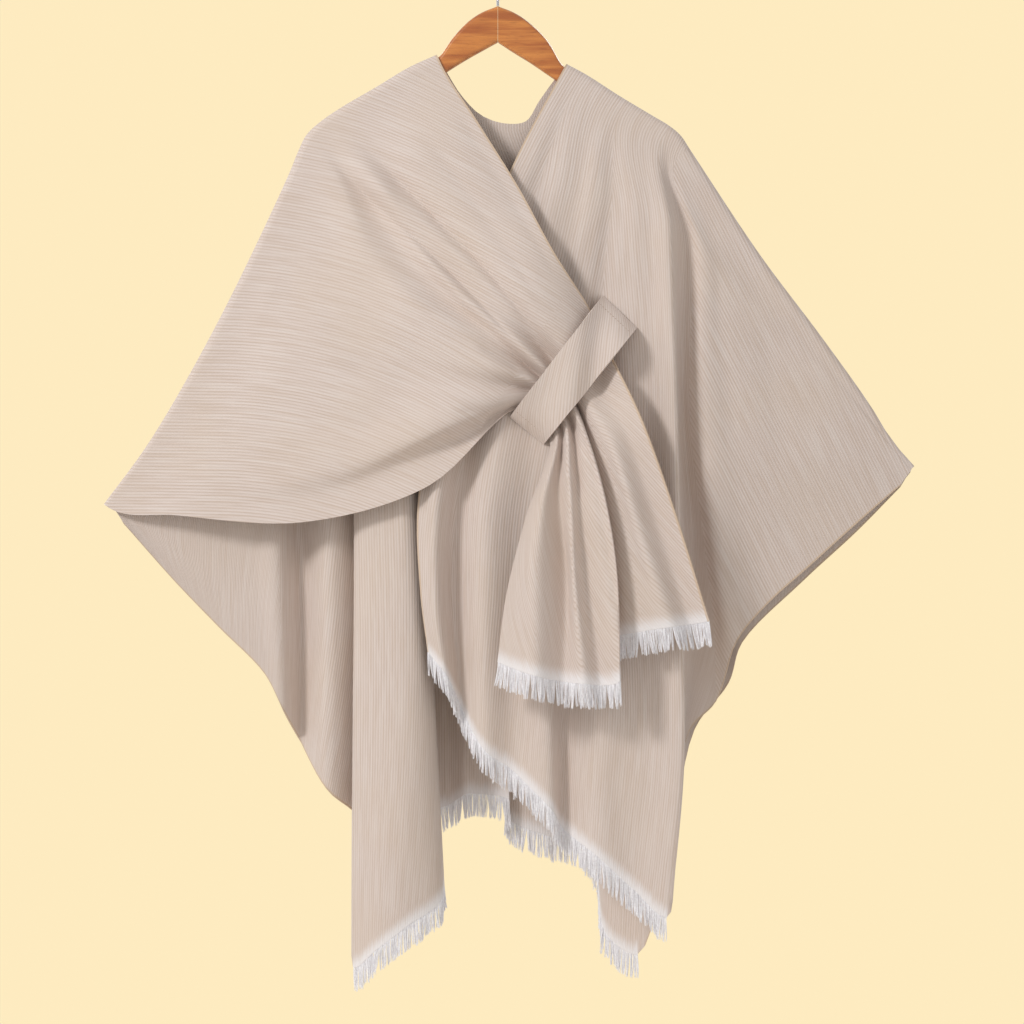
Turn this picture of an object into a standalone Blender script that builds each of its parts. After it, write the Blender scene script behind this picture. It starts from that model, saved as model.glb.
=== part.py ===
# A woven wrap cape with fringed hems, hung on a wooden hanger.
# One rectangle of cloth lies over the hanger. It is slit up the front and rounded out at the neck.
# The wearer's right front is pulled through a loop band that is sewn to the left front.
# The front faces -Y, +X is to the viewer's right, and the origin is inside the top of the hook.
# Panel tables hold across (X), depth (Y) and drop (down from the top of the wood) in millimetres.

import math
import random
from collections import namedtuple

import bmesh
import bpy
import numpy as np

MM = 0.001

# Cloth
WALL = 2.0
GAP = 0.3
ROLL_RADIUS = 8.0
TIP_RADIUS = 3.0
ROLL_CELLS = 2
SCOOP_DEPTH = 9.0
NECK_TURN = 10.0
NECK_EASE = 60.0
NECK_TURNED = 0.95
NECK_CORNER_DROP = 4.0
NECK_EDGE_DROP = 8.0
LEAST_MITRE = 0.3

# Place of the hook above the wood, and the eye that the drops and widths were judged from
WOOD_DROP = 60.0
EYE_DISTANCE = 4500.0
EYE_ACROSS = 17.0
EYE_DROP = 607.0

# Hanger
ARM_HALF = 6.0
ARM_HEIGHT = 27.0
ARM_END_LENGTH = 22.0
WIRE = 3.5
HOOK_INSIDE = 19.0
HOOK_STEM = ((0.0, 0.0), (0.0, 4.0), (0.0, 8.0), (1.5, 12.0))
HOOK_TURNS = range(-50, 211, 20)
SECTION_TURNS = (0, 45, 90)
SECTION_ROUNDNESS = 1.1

# Loop band, placed by the corners of its entry edge and its exit edge
BAND_WALL = 2.5
BAND_RISE = 39.0
BUNDLE_CLEAR = 5.0
BUNDLE_RISE = 29.0
BAND_CELLS_LONG = 18
BAND_CELLS_WIDE = 3
Edge = namedtuple("Edge", "upper_across upper_drop lower_across lower_drop")
ENTRY = Edge(126, 347, 14, 493)
EXIT = Edge(167, 386, 55, 526)

# Fringe
FRINGE_PITCH = 12.5
FRINGE_SPACE = 3.0
FRINGE_BACKING = 4.0
FRINGE_PART = 0.45
FRINGE_LENGTH = 27.0
FRINGE_SHORTER = 3.0
FRINGE_LEAN = 2.0
FRINGE_TAPER = 0.6
FOLD_MARGIN = 6.0
SHARP_TURN = 0.3
FRINGE_SEED = 7
MOST_SLANT = 0.35

# Shoulder fold from each side of the neck to the tips of the cloth, and the rounded neck edge
Seat = namedtuple("Seat", "across drop")
FOLD_RIGHT = [Seat(*row) for row in (
    (-73, 59), (-106, 74), (-146, 98), (-187, 122), (-212, 139), (-229, 155), (-239, 175),
    (-250, 202), (-334, 377), (-416, 521), (-472, 598))]
FOLD_LEFT = [Seat(*row) for row in (
    (82, 70), (106, 83), (145, 108), (185, 132), (205, 144), (219, 156), (231, 174),
    (314, 299), (386, 395), (446, 479), (472, 521), (505, 559))]
NECK = [Seat(*row) for row in (
    (-73, 59), (-61, 79), (-44, 106), (-20, 130), (10, 140), (34, 137), (49, 114), (66, 90), (82, 70))]
FOLD_TIP_LENGTH = 480.0

# Fold lines of the right front. Place runs along the shoulder fold from the neck. The line passes
# the points upper, middle and lower, then the band at the places where it goes in and comes out,
# with its rise in the gathers at each, and spreads below through fan, skirt and hem.
Gathered = namedtuple("Gathered", "name place upper middle lower into rise_in out rise_out fan skirt hem")
RIGHT_FOLDS = [Gathered(*row) for row in (
    ("slit edge", 0, (-24, 139, -18), (24, 216, -30), (69, 298, -48),
     0.13, 0.60, 0.26, 0.60, (172, 493, -88), (212, 604, -96), (254, 738, -98)),
    ("slit facet", 34, (-62, 160, -22), (-2, 236, -36), (52, 315, -56),
     0.26, 0.85, 0.42, 0.50, (152, 505, -76), (190, 615, -84), (231, 742, -88)),
    ("upper ridge", 84, (-98, 196, -25), (-30, 275, -42), (32, 350, -62),
     0.42, 0.95, 0.56, 0.95, (138, 535, -92), (173, 642, -102), (209, 745, -106)),
    ("second crease", 130, (-122, 222, -18), (-58, 300, -33), (14, 371, -46),
     0.54, 0.25, 0.62, 0.70, (130, 540, -82), (156, 645, -92), (176, 750, -92)),
    ("narrow ridge", 160, (-128, 246, -26), (-64, 324, -46), (6, 388, -64),
     0.61, 0.90, 0.65, 0.15, (112, 542, -64), (125, 650, -72), (134, 762, -76)),
    ("main crease", 176, (-136, 266, -15), (-72, 338, -33), (2, 404, -45),
     0.67, 0.15, 0.69, 0.95, (120, 560, -97), (141, 670, -108), (146, 810, -112)),
    ("broad ridge", 200, (-152, 300, -28), (-84, 376, -50), (-6, 428, -66),
     0.72, 0.90, 0.74, 0.35, (94, 556, -76), (104, 680, -88), (124, 815, -95)),
    ("small crease", 262, (-182, 362, -24), (-104, 424, -41), (-18, 448, -56),
     0.78, 0.35, 0.785, 0.85, (85, 566, -90), (92, 690, -104), (104, 813, -108)),
    ("lower ridge", 390, (-252, 440, -24), (-150, 482, -42), (-32, 470, -64),
     0.84, 0.80, 0.82, 0.30, (73, 585, -70), (82, 690, -77), (80, 811, -87)),
    ("lip", 560, (-318, 560, -18), (-196, 556, -38), (-50, 500, -64),
     0.885, 0.90, 0.87, 0.90, (53, 600, -90), (46, 700, -103), (46, 804, -108)),
    ("lip valley", 640, (-360, 590, -14), (-214, 584, -28), (-66, 528, -42),
     0.91, 0.30, 0.90, 0.45, (43, 602, -77), (24, 702, -83), (22, 796, -90)),
    ("side edge", 691, (-385, 611, -14), (-232, 619, -28), (-82, 575, -46),
     0.94, 0.50, 0.93, 0.50, (34, 614, -69), (11, 705, -70), (0, 787, -70)))]

# Fold lines of the left front, from the slit to the tip. Each hangs from its place on the shoulder
# fold to the hem, or, beyond the main ridge, to the side edge.
Hanging = namedtuple("Hanging", "name place upper middle lower skirt bottom")
LEFT_FOLDS = [Hanging(*row) for row in (
    ("slit edge", 0, (14, 200, -13), (-52, 389, -18), (-95, 589, -26), (-93, 700, -30), (-84, 774, -30)),
    ("slit ridge", 10, (32, 206, -16), (-32, 392, -25), (-73, 590, -40), (-74, 712, -43), (-63, 801, -41)),
    ("slit valley", 22, (50, 212, -12), (-8, 396, -15), (-47, 585, -9), (-54, 697, -8), (-44, 840, -16)),
    ("inner ridge", 38, (72, 218, -17), (27, 402, -25), (-14, 592, -34), (-17, 725, -38), (-14, 895, -42)),
    ("inner valley", 55, (96, 225, -15), (62, 410, -20), (32, 603, -25), (24, 745, -29), (14, 914, -32)),
    ("centre ridge", 72, (120, 233, -19), (95, 418, -26), (74, 612, -36), (62, 785, -45), (64, 964, -54)),
    ("step valley", 86, (136, 240, -15), (118, 425, -18), (96, 620, -22), (80, 802, -26), (77, 985, -28)),
    ("outer ridge", 102, (156, 247, -23), (148, 435, -32), (132, 640, -43), (122, 832, -54), (116, 1017, -62)),
    ("outer facet", 122, (182, 256, -26), (182, 447, -37), (180, 660, -48), (174, 862, -57), (163, 1060, -62)),
    ("main ridge", 146, (206, 268, -34), (213, 470, -56), (217, 680, -66), (222, 900, -73), (203, 1093, -75)),
    ("ridge return", 158, (215, 275, -18), (214, 476, -28), (219, 670, -36), (215, 860, -48), (210, 1000, -54)),
    ("deep valley", 168, (223, 282, -10), (222, 485, -11), (234, 650, -6), (235, 780, -14), (229, 871, -27)),
    ("valley side", 181, (233, 290, -13), (231, 492, -17), (247, 635, -17), (259, 740, -18), (262, 834, -21)),
    ("wing ridge", 200, (246, 305, -20), (243, 497, -30), (257, 625, -34), (271, 700, -34), (287, 762, -32)),
    ("wing", 255, (272, 335, -17), (282, 455, -24), (295, 570, -26), (308, 655, -24), (323, 718, -22)),
    ("wing middle", 365, (336, 396, -12), (345, 470, -16), (355, 545, -18), (364, 612, -16), (374, 672, -16)),
    ("wing end", 485, (407, 458, -9), (411, 500, -11), (416, 543, -12), (421, 585, -10), (427, 624, -10)),
    ("tip", 648, (495, 558, -4), (492, 562, -4), (489, 566, -4), (486, 570, -4), (483, 575, -4)))]

# Fold lines of the back, from the viewer's left tip to the right tip. Place is negative along the
# right shoulder fold, then runs along the neck edge, then along the left shoulder fold.
BACK_NECK = 229.0
BACK_FOLDS = [Hanging(*row) for row in (
    ("tip", -684, (-464, 597, 4), (-461, 602, 4), (-457, 608, 4), (-453, 614, 4), (-449, 621, 4)),
    ("wing end", -596, (-413, 548, 7), (-408, 583, 9), (-402, 620, 10), (-395, 655, 11), (-388, 690, 12)),
    ("wing", -480, (-356, 480, 10), (-351, 545, 13), (-346, 610, 14), (-341, 680, 15), (-335, 745, 16)),
    ("wing middle", -360, (-303, 405, 12), (-300, 505, 16), (-295, 605, 17), (-288, 705, 16), (-279, 802, 14)),
    ("side ridge", -285, (-271, 355, 12), (-270, 480, 14), (-266, 605, 14), (-261, 730, 12), (-257, 846, 10)),
    ("side valley", -245, (-250, 330, 22), (-243, 465, 34), (-238, 605, 44), (-235, 745, 46), (-236, 884, 42)),
    ("second ridge", -218, (-226, 315, 12), (-212, 455, 8), (-204, 605, 6), (-203, 765, 6), (-205, 940, 6)),
    ("hidden return", -196, (-196, 310, 20), (-164, 455, 34), (-152, 605, 42), (-150, 785, 44), (-160, 985, 42)),
    ("lobe edge", -178, (-196, 305, 10), (-175, 455, 2), (-172, 620, -3), (-173, 860, -6), (-173, 1153, -7)),
    ("lobe front", -160, (-165, 300, 7), (-146, 455, -8), (-138, 620, -20), (-136, 860, -26), (-146, 1133, -28)),
    ("lobe middle", -130, (-136, 290, 7), (-116, 455, -8), (-105, 620, -20), (-102, 850, -28), (-109, 1104, -30)),
    ("lobe side", -100, (-112, 280, 11), (-99, 450, 4), (-90, 620, -2), (-78, 830, -6), (-67, 1070, -8)),
    ("deep return", -76, (-98, 270, 24), (-94, 440, 42), (-88, 610, 56), (-83, 790, 64), (-78, 968, 66)),
    ("deep fold", -52, (-76, 262, 28), (-70, 430, 48), (-62, 600, 64), (-58, 780, 71), (-58, 958, 73)),
    ("first step", -12, (-52, 255, 22), (-44, 420, 38), (-38, 590, 50), (-36, 765, 54), (-37, 945, 55)),
    ("step side", 0, (-46, 253, 23), (-39, 420, 41), (-33, 590, 54), (-30, 765, 59), (-30, 945, 60)),
    ("step valley", 36, (-34, 250, 26), (-28, 420, 48), (-22, 590, 62), (-17, 765, 68), (-14, 946, 69)),
    ("second step", 104, (-2, 255, 22), (3, 425, 38), (8, 595, 48), (12, 770, 54), (13, 952, 55)),
    ("step return", 121, (12, 258, 28), (12, 425, 50), (10, 600, 63), (9, 790, 69), (11, 974, 69)),
    ("behind", 150, (34, 258, 26), (42, 425, 46), (50, 600, 60), (56, 790, 67), (61, 996, 70)),
    ("deep middle", 194, (66, 250, 27), (74, 425, 50), (84, 600, 68), (93, 790, 77), (100, 1008, 80)),
    ("turn", 229, (98, 245, 23), (105, 425, 42), (112, 600, 58), (118, 790, 66), (120, 1040, 60)),
    ("turn side", 241, (103, 245, 22), (109, 425, 38), (116, 600, 51), (122, 790, 57), (122, 1062, 51)),
    ("forward turn", 290, (124, 248, 17), (130, 430, 26), (136, 610, 31), (137, 800, 30), (130, 1112, 26)),
    ("corner", 334, (154, 258, 12), (162, 440, 11), (170, 630, 10), (174, 830, 8), (168, 1137, 6)),
    ("corner return", 370, (190, 270, 7), (197, 440, 4), (203, 620, 2), (206, 790, 0), (207, 1000, 0)),
    ("left valley", 392, (222, 285, 12), (225, 430, 18), (229, 570, 22), (233, 710, 22), (236, 868, 18)),
    ("left ridge", 430, (249, 310, 9), (253, 435, 11), (259, 560, 12), (267, 685, 11), (277, 812, 8)),
    ("left wing", 484, (275, 350, 8), (281, 455, 8), (288, 560, 7), (294, 660, 5), (293, 764, 3)),
    ("left wing middle", 590, (336, 398, 7), (342, 470, 8), (349, 545, 8), (357, 620, 8), (366, 690, 6)),
    ("left wing end", 712, (406, 460, 6), (410, 502, 7), (415, 545, 7), (422, 588, 7), (431, 630, 6)),
    ("left tip", 876, (495, 559, 4), (492, 563, 4), (489, 567, 4), (486, 572, 4), (483, 577, 4)))]

# Hems with fringe, counted in fold lines. The fringe stops where a hem turns back under a fold.
FringeSpan = namedtuple("FringeSpan", "name first last")
RIGHT_FRINGES = [
    FringeSpan("fringe_front_right_slit_part", 0, 3.5),
    FringeSpan("fringe_front_right_side_part", 5, 11)]
LEFT_FRINGES = [
    FringeSpan("fringe_front_left_slit_part", 0, 1.5),
    FringeSpan("fringe_front_left_side_part", 2, 9)]
BACK_FRINGES = [FringeSpan("fringe_back", 8, 24)]

# Cells between neighbouring fold lines, and between the points down a line
RIGHT_ACROSS = 2
RIGHT_DOWN = (3, 3, 3, 2, 2, 2, 3, 3, 3)
LEFT_ACROSS = 2
LEFT_DOWN = (3, 3, 3, 3, 3)
BACK_ACROSS = 2
BACK_DOWN = (3, 3, 3, 3, 3)

# Colours, in linear light
CLOTH_COLOUR = (0.70, 0.57, 0.45)
FRINGE_COLOUR = (0.76, 0.74, 0.76)
WOOD_COLOUR = (0.58, 0.20, 0.035)
STEEL_COLOUR = (0.55, 0.55, 0.56)


def clear_scene():
    for item in list(bpy.data.objects):
        bpy.data.objects.remove(item, do_unlink=True)


def make_material(name, colour, roughness, metallic=0.0):
    material = bpy.data.materials.new(name)
    material.use_nodes = True
    shader = material.node_tree.nodes["Principled BSDF"]
    shader.inputs["Base Color"].default_value = (*colour, 1.0)
    shader.inputs["Roughness"].default_value = roughness
    shader.inputs["Metallic"].default_value = metallic
    return material


# Curves and frames

def smooth_through(knots, cells, lead=None):
    """Points on a smooth curve through the knots, with cells[i] steps in span i."""
    knots = np.asarray(knots, dtype=float)
    steps = np.diff(knots, axis=0)
    spans = np.maximum(np.linalg.norm(steps, axis=1), 1e-6) ** 0.5
    rates = steps / spans[:, None]
    slopes = np.empty_like(knots)
    slopes[0] = rates[0] if lead is None else lead * np.linalg.norm(rates[0])
    slopes[-1] = rates[-1]
    before = spans[:-1, None]
    after = spans[1:, None]
    slopes[1:-1] = (rates[1:] * before + rates[:-1] * after) / (before + after)
    points = [knots[:1]]
    for index, count in enumerate(cells):
        t = (np.arange(1, count + 1) / count)[:, None]
        span = spans[index]
        points.append((2 * t**3 - 3 * t**2 + 1) * knots[index]
                      + (t**3 - 2 * t**2 + t) * span * slopes[index]
                      + (3 * t**2 - 2 * t**3) * knots[index + 1]
                      + (t**3 - t**2) * span * slopes[index + 1])
    return np.concatenate(points)


def seen_at(across, drop, depth):
    """The point at this depth that the eye sees at across and drop on the hanger's plane."""
    scale = (EYE_DISTANCE + depth) / EYE_DISTANCE
    return np.array([EYE_ACROSS + (across - EYE_ACROSS) * scale, depth,
                     EYE_DROP + (drop - EYE_DROP) * scale])


class SeatPath:
    """A curve in the hanger's plane, read by the distance along it."""

    def __init__(self, seats):
        knots = np.array(seats, dtype=float)
        self.points = smooth_through(knots, [12] * (len(knots) - 1))
        lengths = np.linalg.norm(np.diff(self.points, axis=0), axis=1)
        self.places = np.concatenate([[0.0], np.cumsum(lengths)])
        self.length = self.places[-1]

    def at(self, place):
        return np.array([np.interp(place, self.places, self.points[:, k]) for k in (0, 1)])

    def inward(self, place):
        """The direction square to the curve that points down into the cloth."""
        reach = 2.0
        along = self.at(min(place + reach, self.length)) - self.at(max(place - reach, 0.0))
        square = np.array([along[1], -along[0]]) / np.linalg.norm(along)
        return square if square[1] > 0 else -square

    def drop_at(self, across):
        order = np.argsort(self.points[:, 0])
        return np.interp(across, self.points[order, 0], self.points[order, 1])


FOLD_PATH_RIGHT = SeatPath(FOLD_RIGHT)
FOLD_PATH_LEFT = SeatPath(FOLD_LEFT)
NECK_PATH = SeatPath(NECK)


def roll_over(path, place, side):
    """A quarter turn of cloth from the shoulder fold to the front (side -1) or back (side 1)."""
    seat = path.at(place)
    inward = path.inward(place)
    slim = min(max((place - FOLD_TIP_LENGTH) / (path.length - FOLD_TIP_LENGTH), 0.0), 1.0)
    radius = ROLL_RADIUS + (TIP_RADIUS - ROLL_RADIUS) * slim
    turned = min(max(1.0 - place / NECK_TURN, 0.0), 1.0) if side > 0 else 0.0
    first = math.pi / 2 * turned
    rows = []
    for step in range(ROLL_CELLS + 1):
        angle = first + (math.pi / 2 - first) * step / ROLL_CELLS
        sink = radius * (1 - math.cos(angle))
        if turned > NECK_TURNED:
            sink += NECK_CORNER_DROP * step / ROLL_CELLS
        reach = GAP / 2 + (radius - GAP / 2) * math.sin(angle)
        rows.append((seat[0] + inward[0] * sink, side * reach, seat[1] + inward[1] * sink))
    facing = np.array([-inward[0] * math.cos(first), side * math.sin(first), -inward[1] * math.cos(first)])
    share = min(place / NECK_EASE, 1.0) if side > 0 else 1.0
    lead = unit(np.array([inward[0] * share, 0.0, inward[1]]))
    return np.array(rows), lead, facing


def neck_edge(place):
    """The raw edge of the back at the neck, behind the hanger."""
    seat = NECK_PATH.at(place)
    inward = NECK_PATH.inward(place)
    turn = min(place, NECK_PATH.length - place)
    depth = ROLL_RADIUS + (SCOOP_DEPTH - ROLL_RADIUS) * min(turn / NECK_TURN, 1.0)
    drops = [seat[1] + NECK_EDGE_DROP * step / ROLL_CELLS for step in range(ROLL_CELLS + 1)]
    rows = [(seat[0], depth, drop) for drop in drops]
    return np.array(rows), np.array([0.0, 0.0, 1.0]), np.array([0.0, 1.0, 0.0])


def top_of_right(place):
    return roll_over(FOLD_PATH_RIGHT, place, -1)


def top_of_left(place):
    return roll_over(FOLD_PATH_LEFT, place, -1)


def top_of_back(place):
    if place <= 0.0:
        return roll_over(FOLD_PATH_RIGHT, -place, 1)
    if place >= BACK_NECK:
        return roll_over(FOLD_PATH_LEFT, place - BACK_NECK, 1)
    return neck_edge(place * NECK_PATH.length / BACK_NECK)


# Panels

def panel_points(places, routes, top, down, across):
    """The middle of a panel's wall as rows of points, and the outward direction of its top row."""
    lines = []
    for place, route in zip(places, routes):
        rows, lead, _ = top(place)
        lines.append(smooth_through([rows[-1], *route], down, lead))
    lines = np.array(lines)
    spread = [across] * (len(places) - 1)
    grid = np.array([smooth_through(lines[:, row], spread) for row in range(lines.shape[1])])
    columns = np.arange(grid.shape[1]) / across
    column_places = np.interp(columns, np.arange(len(places)), places)
    tops = [top(place) for place in column_places]
    rolls = np.array([rows for rows, _, _ in tops]).transpose(1, 0, 2)
    facing = np.array([face for _, _, face in tops])
    slip = rolls[-1] - grid[0]
    for row in range(down[0]):
        grid[row] += slip * (1 - row / down[0])
    return np.concatenate([rolls[:-1], grid]), facing


def unit(vectors):
    return vectors / np.maximum(np.linalg.norm(vectors, axis=-1, keepdims=True), 1e-9)


def wall_sides(grid, outward, wall, facing=None):
    """The outer and inner points of a wall round a grid of middle points, mitred at the folds."""
    down = np.gradient(grid, axis=0)
    steps = np.diff(grid, axis=1)
    before = unit(np.cross(np.concatenate([steps[:, :1], steps], axis=1), down))
    after = unit(np.cross(np.concatenate([steps, steps[:, -1:]], axis=1), down))
    normals = unit(before + after)
    mitre = np.maximum(np.sum(normals * after, axis=2, keepdims=True), LEAST_MITRE)
    if np.mean(normals[:, :, 1]) * outward < 0:
        normals = -normals
    shift = normals / mitre * wall / 2
    if facing is not None:
        shift[0] = facing * wall / 2
    return grid + shift, grid - shift


def to_world(point):
    return (point[0] * MM, point[1] * MM, -(WOOD_DROP + point[2]) * MM)


def finish_mesh(name, mesh, material):
    bmesh.ops.recalc_face_normals(mesh, faces=mesh.faces)
    bmesh.ops.triangulate(mesh, faces=mesh.faces)
    data = bpy.data.meshes.new(name)
    mesh.to_mesh(data)
    mesh.free()
    data.shade_smooth()
    data.set_sharp_from_angle(angle=math.radians(50))
    data.materials.append(material)
    piece = bpy.data.objects.new(name, data)
    bpy.context.scene.collection.objects.link(piece)
    return piece


def add_wall(mesh, outer, inner):
    """A closed wall between two grids of points. Returns the rim faces along its last row."""
    rows, columns = outer.shape[:2]
    skins = []
    for side in (outer, inner):
        skins.append([[mesh.verts.new(to_world(side[r, c])) for c in range(columns)] for r in range(rows)])
    for skin in skins:
        for r in range(rows - 1):
            for c in range(columns - 1):
                mesh.faces.new((skin[r][c], skin[r][c + 1], skin[r + 1][c + 1], skin[r + 1][c]))
    first, second = skins
    for r in range(rows - 1):
        for c in (0, columns - 1):
            mesh.faces.new((first[r][c], first[r + 1][c], second[r + 1][c], second[r][c]))
    last_rim = []
    for c in range(columns - 1):
        mesh.faces.new((first[0][c], first[0][c + 1], second[0][c + 1], second[0][c]))
        rim = (first[-1][c], first[-1][c + 1], second[-1][c + 1], second[-1][c])
        last_rim.append(mesh.faces.new(rim))
    return last_rim


def build_panel(name, outer, inner, material):
    mesh = bmesh.new()
    add_wall(mesh, outer, inner)
    return finish_mesh(name, mesh, material)


def hanging_points(folds, top, down, across):
    routes = []
    for fold in folds:
        stops = (fold.upper, fold.middle, fold.lower, fold.skirt, fold.bottom)
        routes.append([seen_at(x, z, y) for x, z, y in stops])
    return panel_points([fold.place for fold in folds], routes, top, down, across)


def depth_of(grid, across, drop):
    """The depth of the front of a panel at a point of the view, from its triangles."""
    a = grid[:-1, :-1].reshape(-1, 3)
    b = grid[:-1, 1:].reshape(-1, 3)
    c = grid[1:, :-1].reshape(-1, 3)
    d = grid[1:, 1:].reshape(-1, 3)
    p = np.concatenate([a, d])
    q = np.concatenate([b, c])
    r = np.concatenate([c, b])
    det = (q[:, 0] - p[:, 0]) * (r[:, 2] - p[:, 2]) - (r[:, 0] - p[:, 0]) * (q[:, 2] - p[:, 2])
    det = np.where(np.abs(det) < 1e-9, 1e-9, det)
    u = ((across - p[:, 0]) * (r[:, 2] - p[:, 2]) - (r[:, 0] - p[:, 0]) * (drop - p[:, 2])) / det
    v = ((q[:, 0] - p[:, 0]) * (drop - p[:, 2]) - (across - p[:, 0]) * (q[:, 2] - p[:, 2])) / det
    inside = (u >= -1e-6) & (v >= -1e-6) & (u + v <= 1 + 1e-6)
    depths = p[:, 1] + u * (q[:, 1] - p[:, 1]) + v * (r[:, 1] - p[:, 1])
    return depths[inside].min()


# Loop band and the cloth gathered in it

def along_edge(edge, place):
    return (edge.upper_across + (edge.lower_across - edge.upper_across) * place,
            edge.upper_drop + (edge.lower_drop - edge.upper_drop) * place)


def hump(place, fullness):
    return 1 - abs(2 * place - 1) ** fullness


def gather_point(left_grid, edge_share, place, rise):
    """A point of the gathered cloth in the band: edge_share 0 is the way in and 1 the way out."""
    into = along_edge(ENTRY, place)
    out = along_edge(EXIT, place)
    across = into[0] + (out[0] - into[0]) * edge_share
    drop = into[1] + (out[1] - into[1]) * edge_share
    depth = depth_of(left_grid, across, drop) - BUNDLE_CLEAR - BUNDLE_RISE * hump(place, 3) * rise
    return seen_at(across, drop, depth)


def gathered_points(left_grid):
    routes = []
    for fold in RIGHT_FOLDS:
        middle_place = (fold.into + fold.out) / 2
        route = [seen_at(x, z, y) for x, z, y in (fold.upper, fold.middle, fold.lower)]
        middle_rise = (fold.rise_in + fold.rise_out) / 2
        route.append(gather_point(left_grid, 0.0, fold.into, fold.rise_in))
        route.append(gather_point(left_grid, 0.5, middle_place, middle_rise))
        route.append(gather_point(left_grid, 1.0, fold.out, fold.rise_out))
        route += [seen_at(x, z, y) for x, z, y in (fold.fan, fold.skirt, fold.hem)]
        routes.append(route)
    places = [fold.place for fold in RIGHT_FOLDS]
    return panel_points(places, routes, top_of_right, RIGHT_DOWN, RIGHT_ACROSS)


def band_points(left_grid):
    """The middle of the band's wall: its ends lie on the left front and it arches between them."""
    seat_clear = WALL / 2 + GAP + BAND_WALL / 2
    rows = []
    for step in range(BAND_CELLS_LONG + 1):
        place = step / BAND_CELLS_LONG
        row = []
        for side in range(BAND_CELLS_WIDE + 1):
            share = side / BAND_CELLS_WIDE
            into = along_edge(ENTRY, place)
            out = along_edge(EXIT, place)
            across = into[0] + (out[0] - into[0]) * share
            drop = into[1] + (out[1] - into[1]) * share
            depth = depth_of(left_grid, across, drop) - seat_clear - BAND_RISE * hump(place, 5)
            row.append(seen_at(across, drop, depth))
        rows.append(row)
    return np.array(rows)


def build_band(left_grid, material):
    outer, inner = wall_sides(band_points(left_grid).transpose(1, 0, 2), -1, BAND_WALL)
    return build_panel("loop_band", outer, inner, material)


# Fringe

def fringe_columns(hem):
    """Shares along the hem, cell by cell, as (column, share, starts_lock), clear of sharp folds."""
    edges = np.diff(hem, axis=0)
    ways = unit(edges)
    turns = np.sum(ways[1:] * ways[:-1], axis=1)
    margins = [FRINGE_SPACE / 2]
    margins += [FOLD_MARGIN if turn < SHARP_TURN else FRINGE_SPACE / 2 for turn in turns]
    margins.append(FRINGE_SPACE / 2)
    columns = []
    for c, length in enumerate(np.linalg.norm(edges, axis=1)):
        columns.append((c, 0.0, False))
        first = margins[c]
        room = length - margins[c + 1] - first
        locks = round((room + FRINGE_SPACE) / FRINGE_PITCH)
        if locks < 1 and room > FRINGE_SPACE:
            locks = 1
        for lock in range(locks):
            pitch = (room + FRINGE_SPACE) / locks
            start = first + lock * pitch
            columns.append((c, start / length, True))
            columns.append((c, (start + pitch - FRINGE_SPACE) / length, False))
    columns.append((len(edges) - 1, 1.0, False))
    return columns


def build_fringe(span, outer, inner, across, material):
    """Tapered locks on a narrow backing strip that hangs just below a hem."""
    draw = random.Random(FRINGE_SEED)
    first = int(span.first * across)
    last = int(span.last * across)
    hang = outer[-1] - outer[-2] + inner[-1] - inner[-2]
    hang = unit(unit(hang) + np.array([0.0, 0.0, 1.0]))
    outer_hem = outer[-1, first:last + 1]
    inner_hem = inner[-1, first:last + 1]
    hang = hang[first:last + 1]
    columns = fringe_columns((outer_hem + inner_hem) / 2)
    sides = []
    ways = []
    for hem in (outer_hem, inner_hem):
        sides.append([hem[c] + (hem[c + 1] - hem[c]) * share for c, share, _ in columns])
    for c, share, _ in columns:
        ways.append(hang[c] + (hang[c + 1] - hang[c]) * share)
    ways = np.array(ways)
    edges = unit(np.diff((outer_hem + inner_hem) / 2, axis=0))
    slants = []
    for (c, share, _), way in zip(columns, ways):
        beside = (max(c - 1, 0), c) if share == 0 else (c,)
        slants.append(min(np.linalg.norm(np.cross(way, edges[k])) for k in beside))
    slants = np.maximum(np.array(slants)[:, None], MOST_SLANT)
    part = ways * FRINGE_PART / slants
    strips = []
    for side in sides:
        strips.append(np.array([side + part, side + part + ways * FRINGE_BACKING]))
    mesh = bmesh.new()
    rims = add_wall(mesh, strips[0], strips[1])
    for index, rim in enumerate(rims):
        if not columns[index][2]:
            continue
        root = rim.verts[:]
        way = ways[index]
        shift = way * (FRINGE_LENGTH - draw.uniform(0.0, FRINGE_SHORTER))
        shift[0] += draw.uniform(-FRINGE_LEAN, FRINGE_LEAN)
        left = (np.array(root[0].co) + np.array(root[3].co)) / 2
        right = (np.array(root[1].co) + np.array(root[2].co)) / 2
        fall = np.array([shift[0], shift[1], -shift[2]]) * MM
        centre = (left + right) / 2
        left_tip = mesh.verts.new(centre + (left - centre) * FRINGE_TAPER + fall)
        right_tip = mesh.verts.new(centre + (right - centre) * FRINGE_TAPER + fall)
        mesh.faces.remove(rim)
        mesh.faces.new((root[0], root[1], right_tip, left_tip))
        mesh.faces.new((root[2], root[3], left_tip, right_tip))
        mesh.faces.new((root[3], root[0], left_tip))
        mesh.faces.new((root[1], root[2], right_tip))
    return finish_mesh(span.name, mesh, material)


# Hanger

Section = namedtuple("Section", "across top bottom")
HANGER_RIGHT_NECK = [Section(*row) for row in (
    (-0.15, 0, 44), (-20, 8, 55), (-36, 19, 64), (-54, 38, 75), (-71, 61, 86))]
HANGER_LEFT_NECK = [Section(*row) for row in (
    (0.15, 0, 44), (20, 8, 57), (38, 20, 68), (60, 42, 83), (79, 72, 96))]
ARM_STOPS = (0.04, 0.25, 0.5, 0.75, 0.9)
ARM_END_TURNS = (25, 50, 70, 84)


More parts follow.
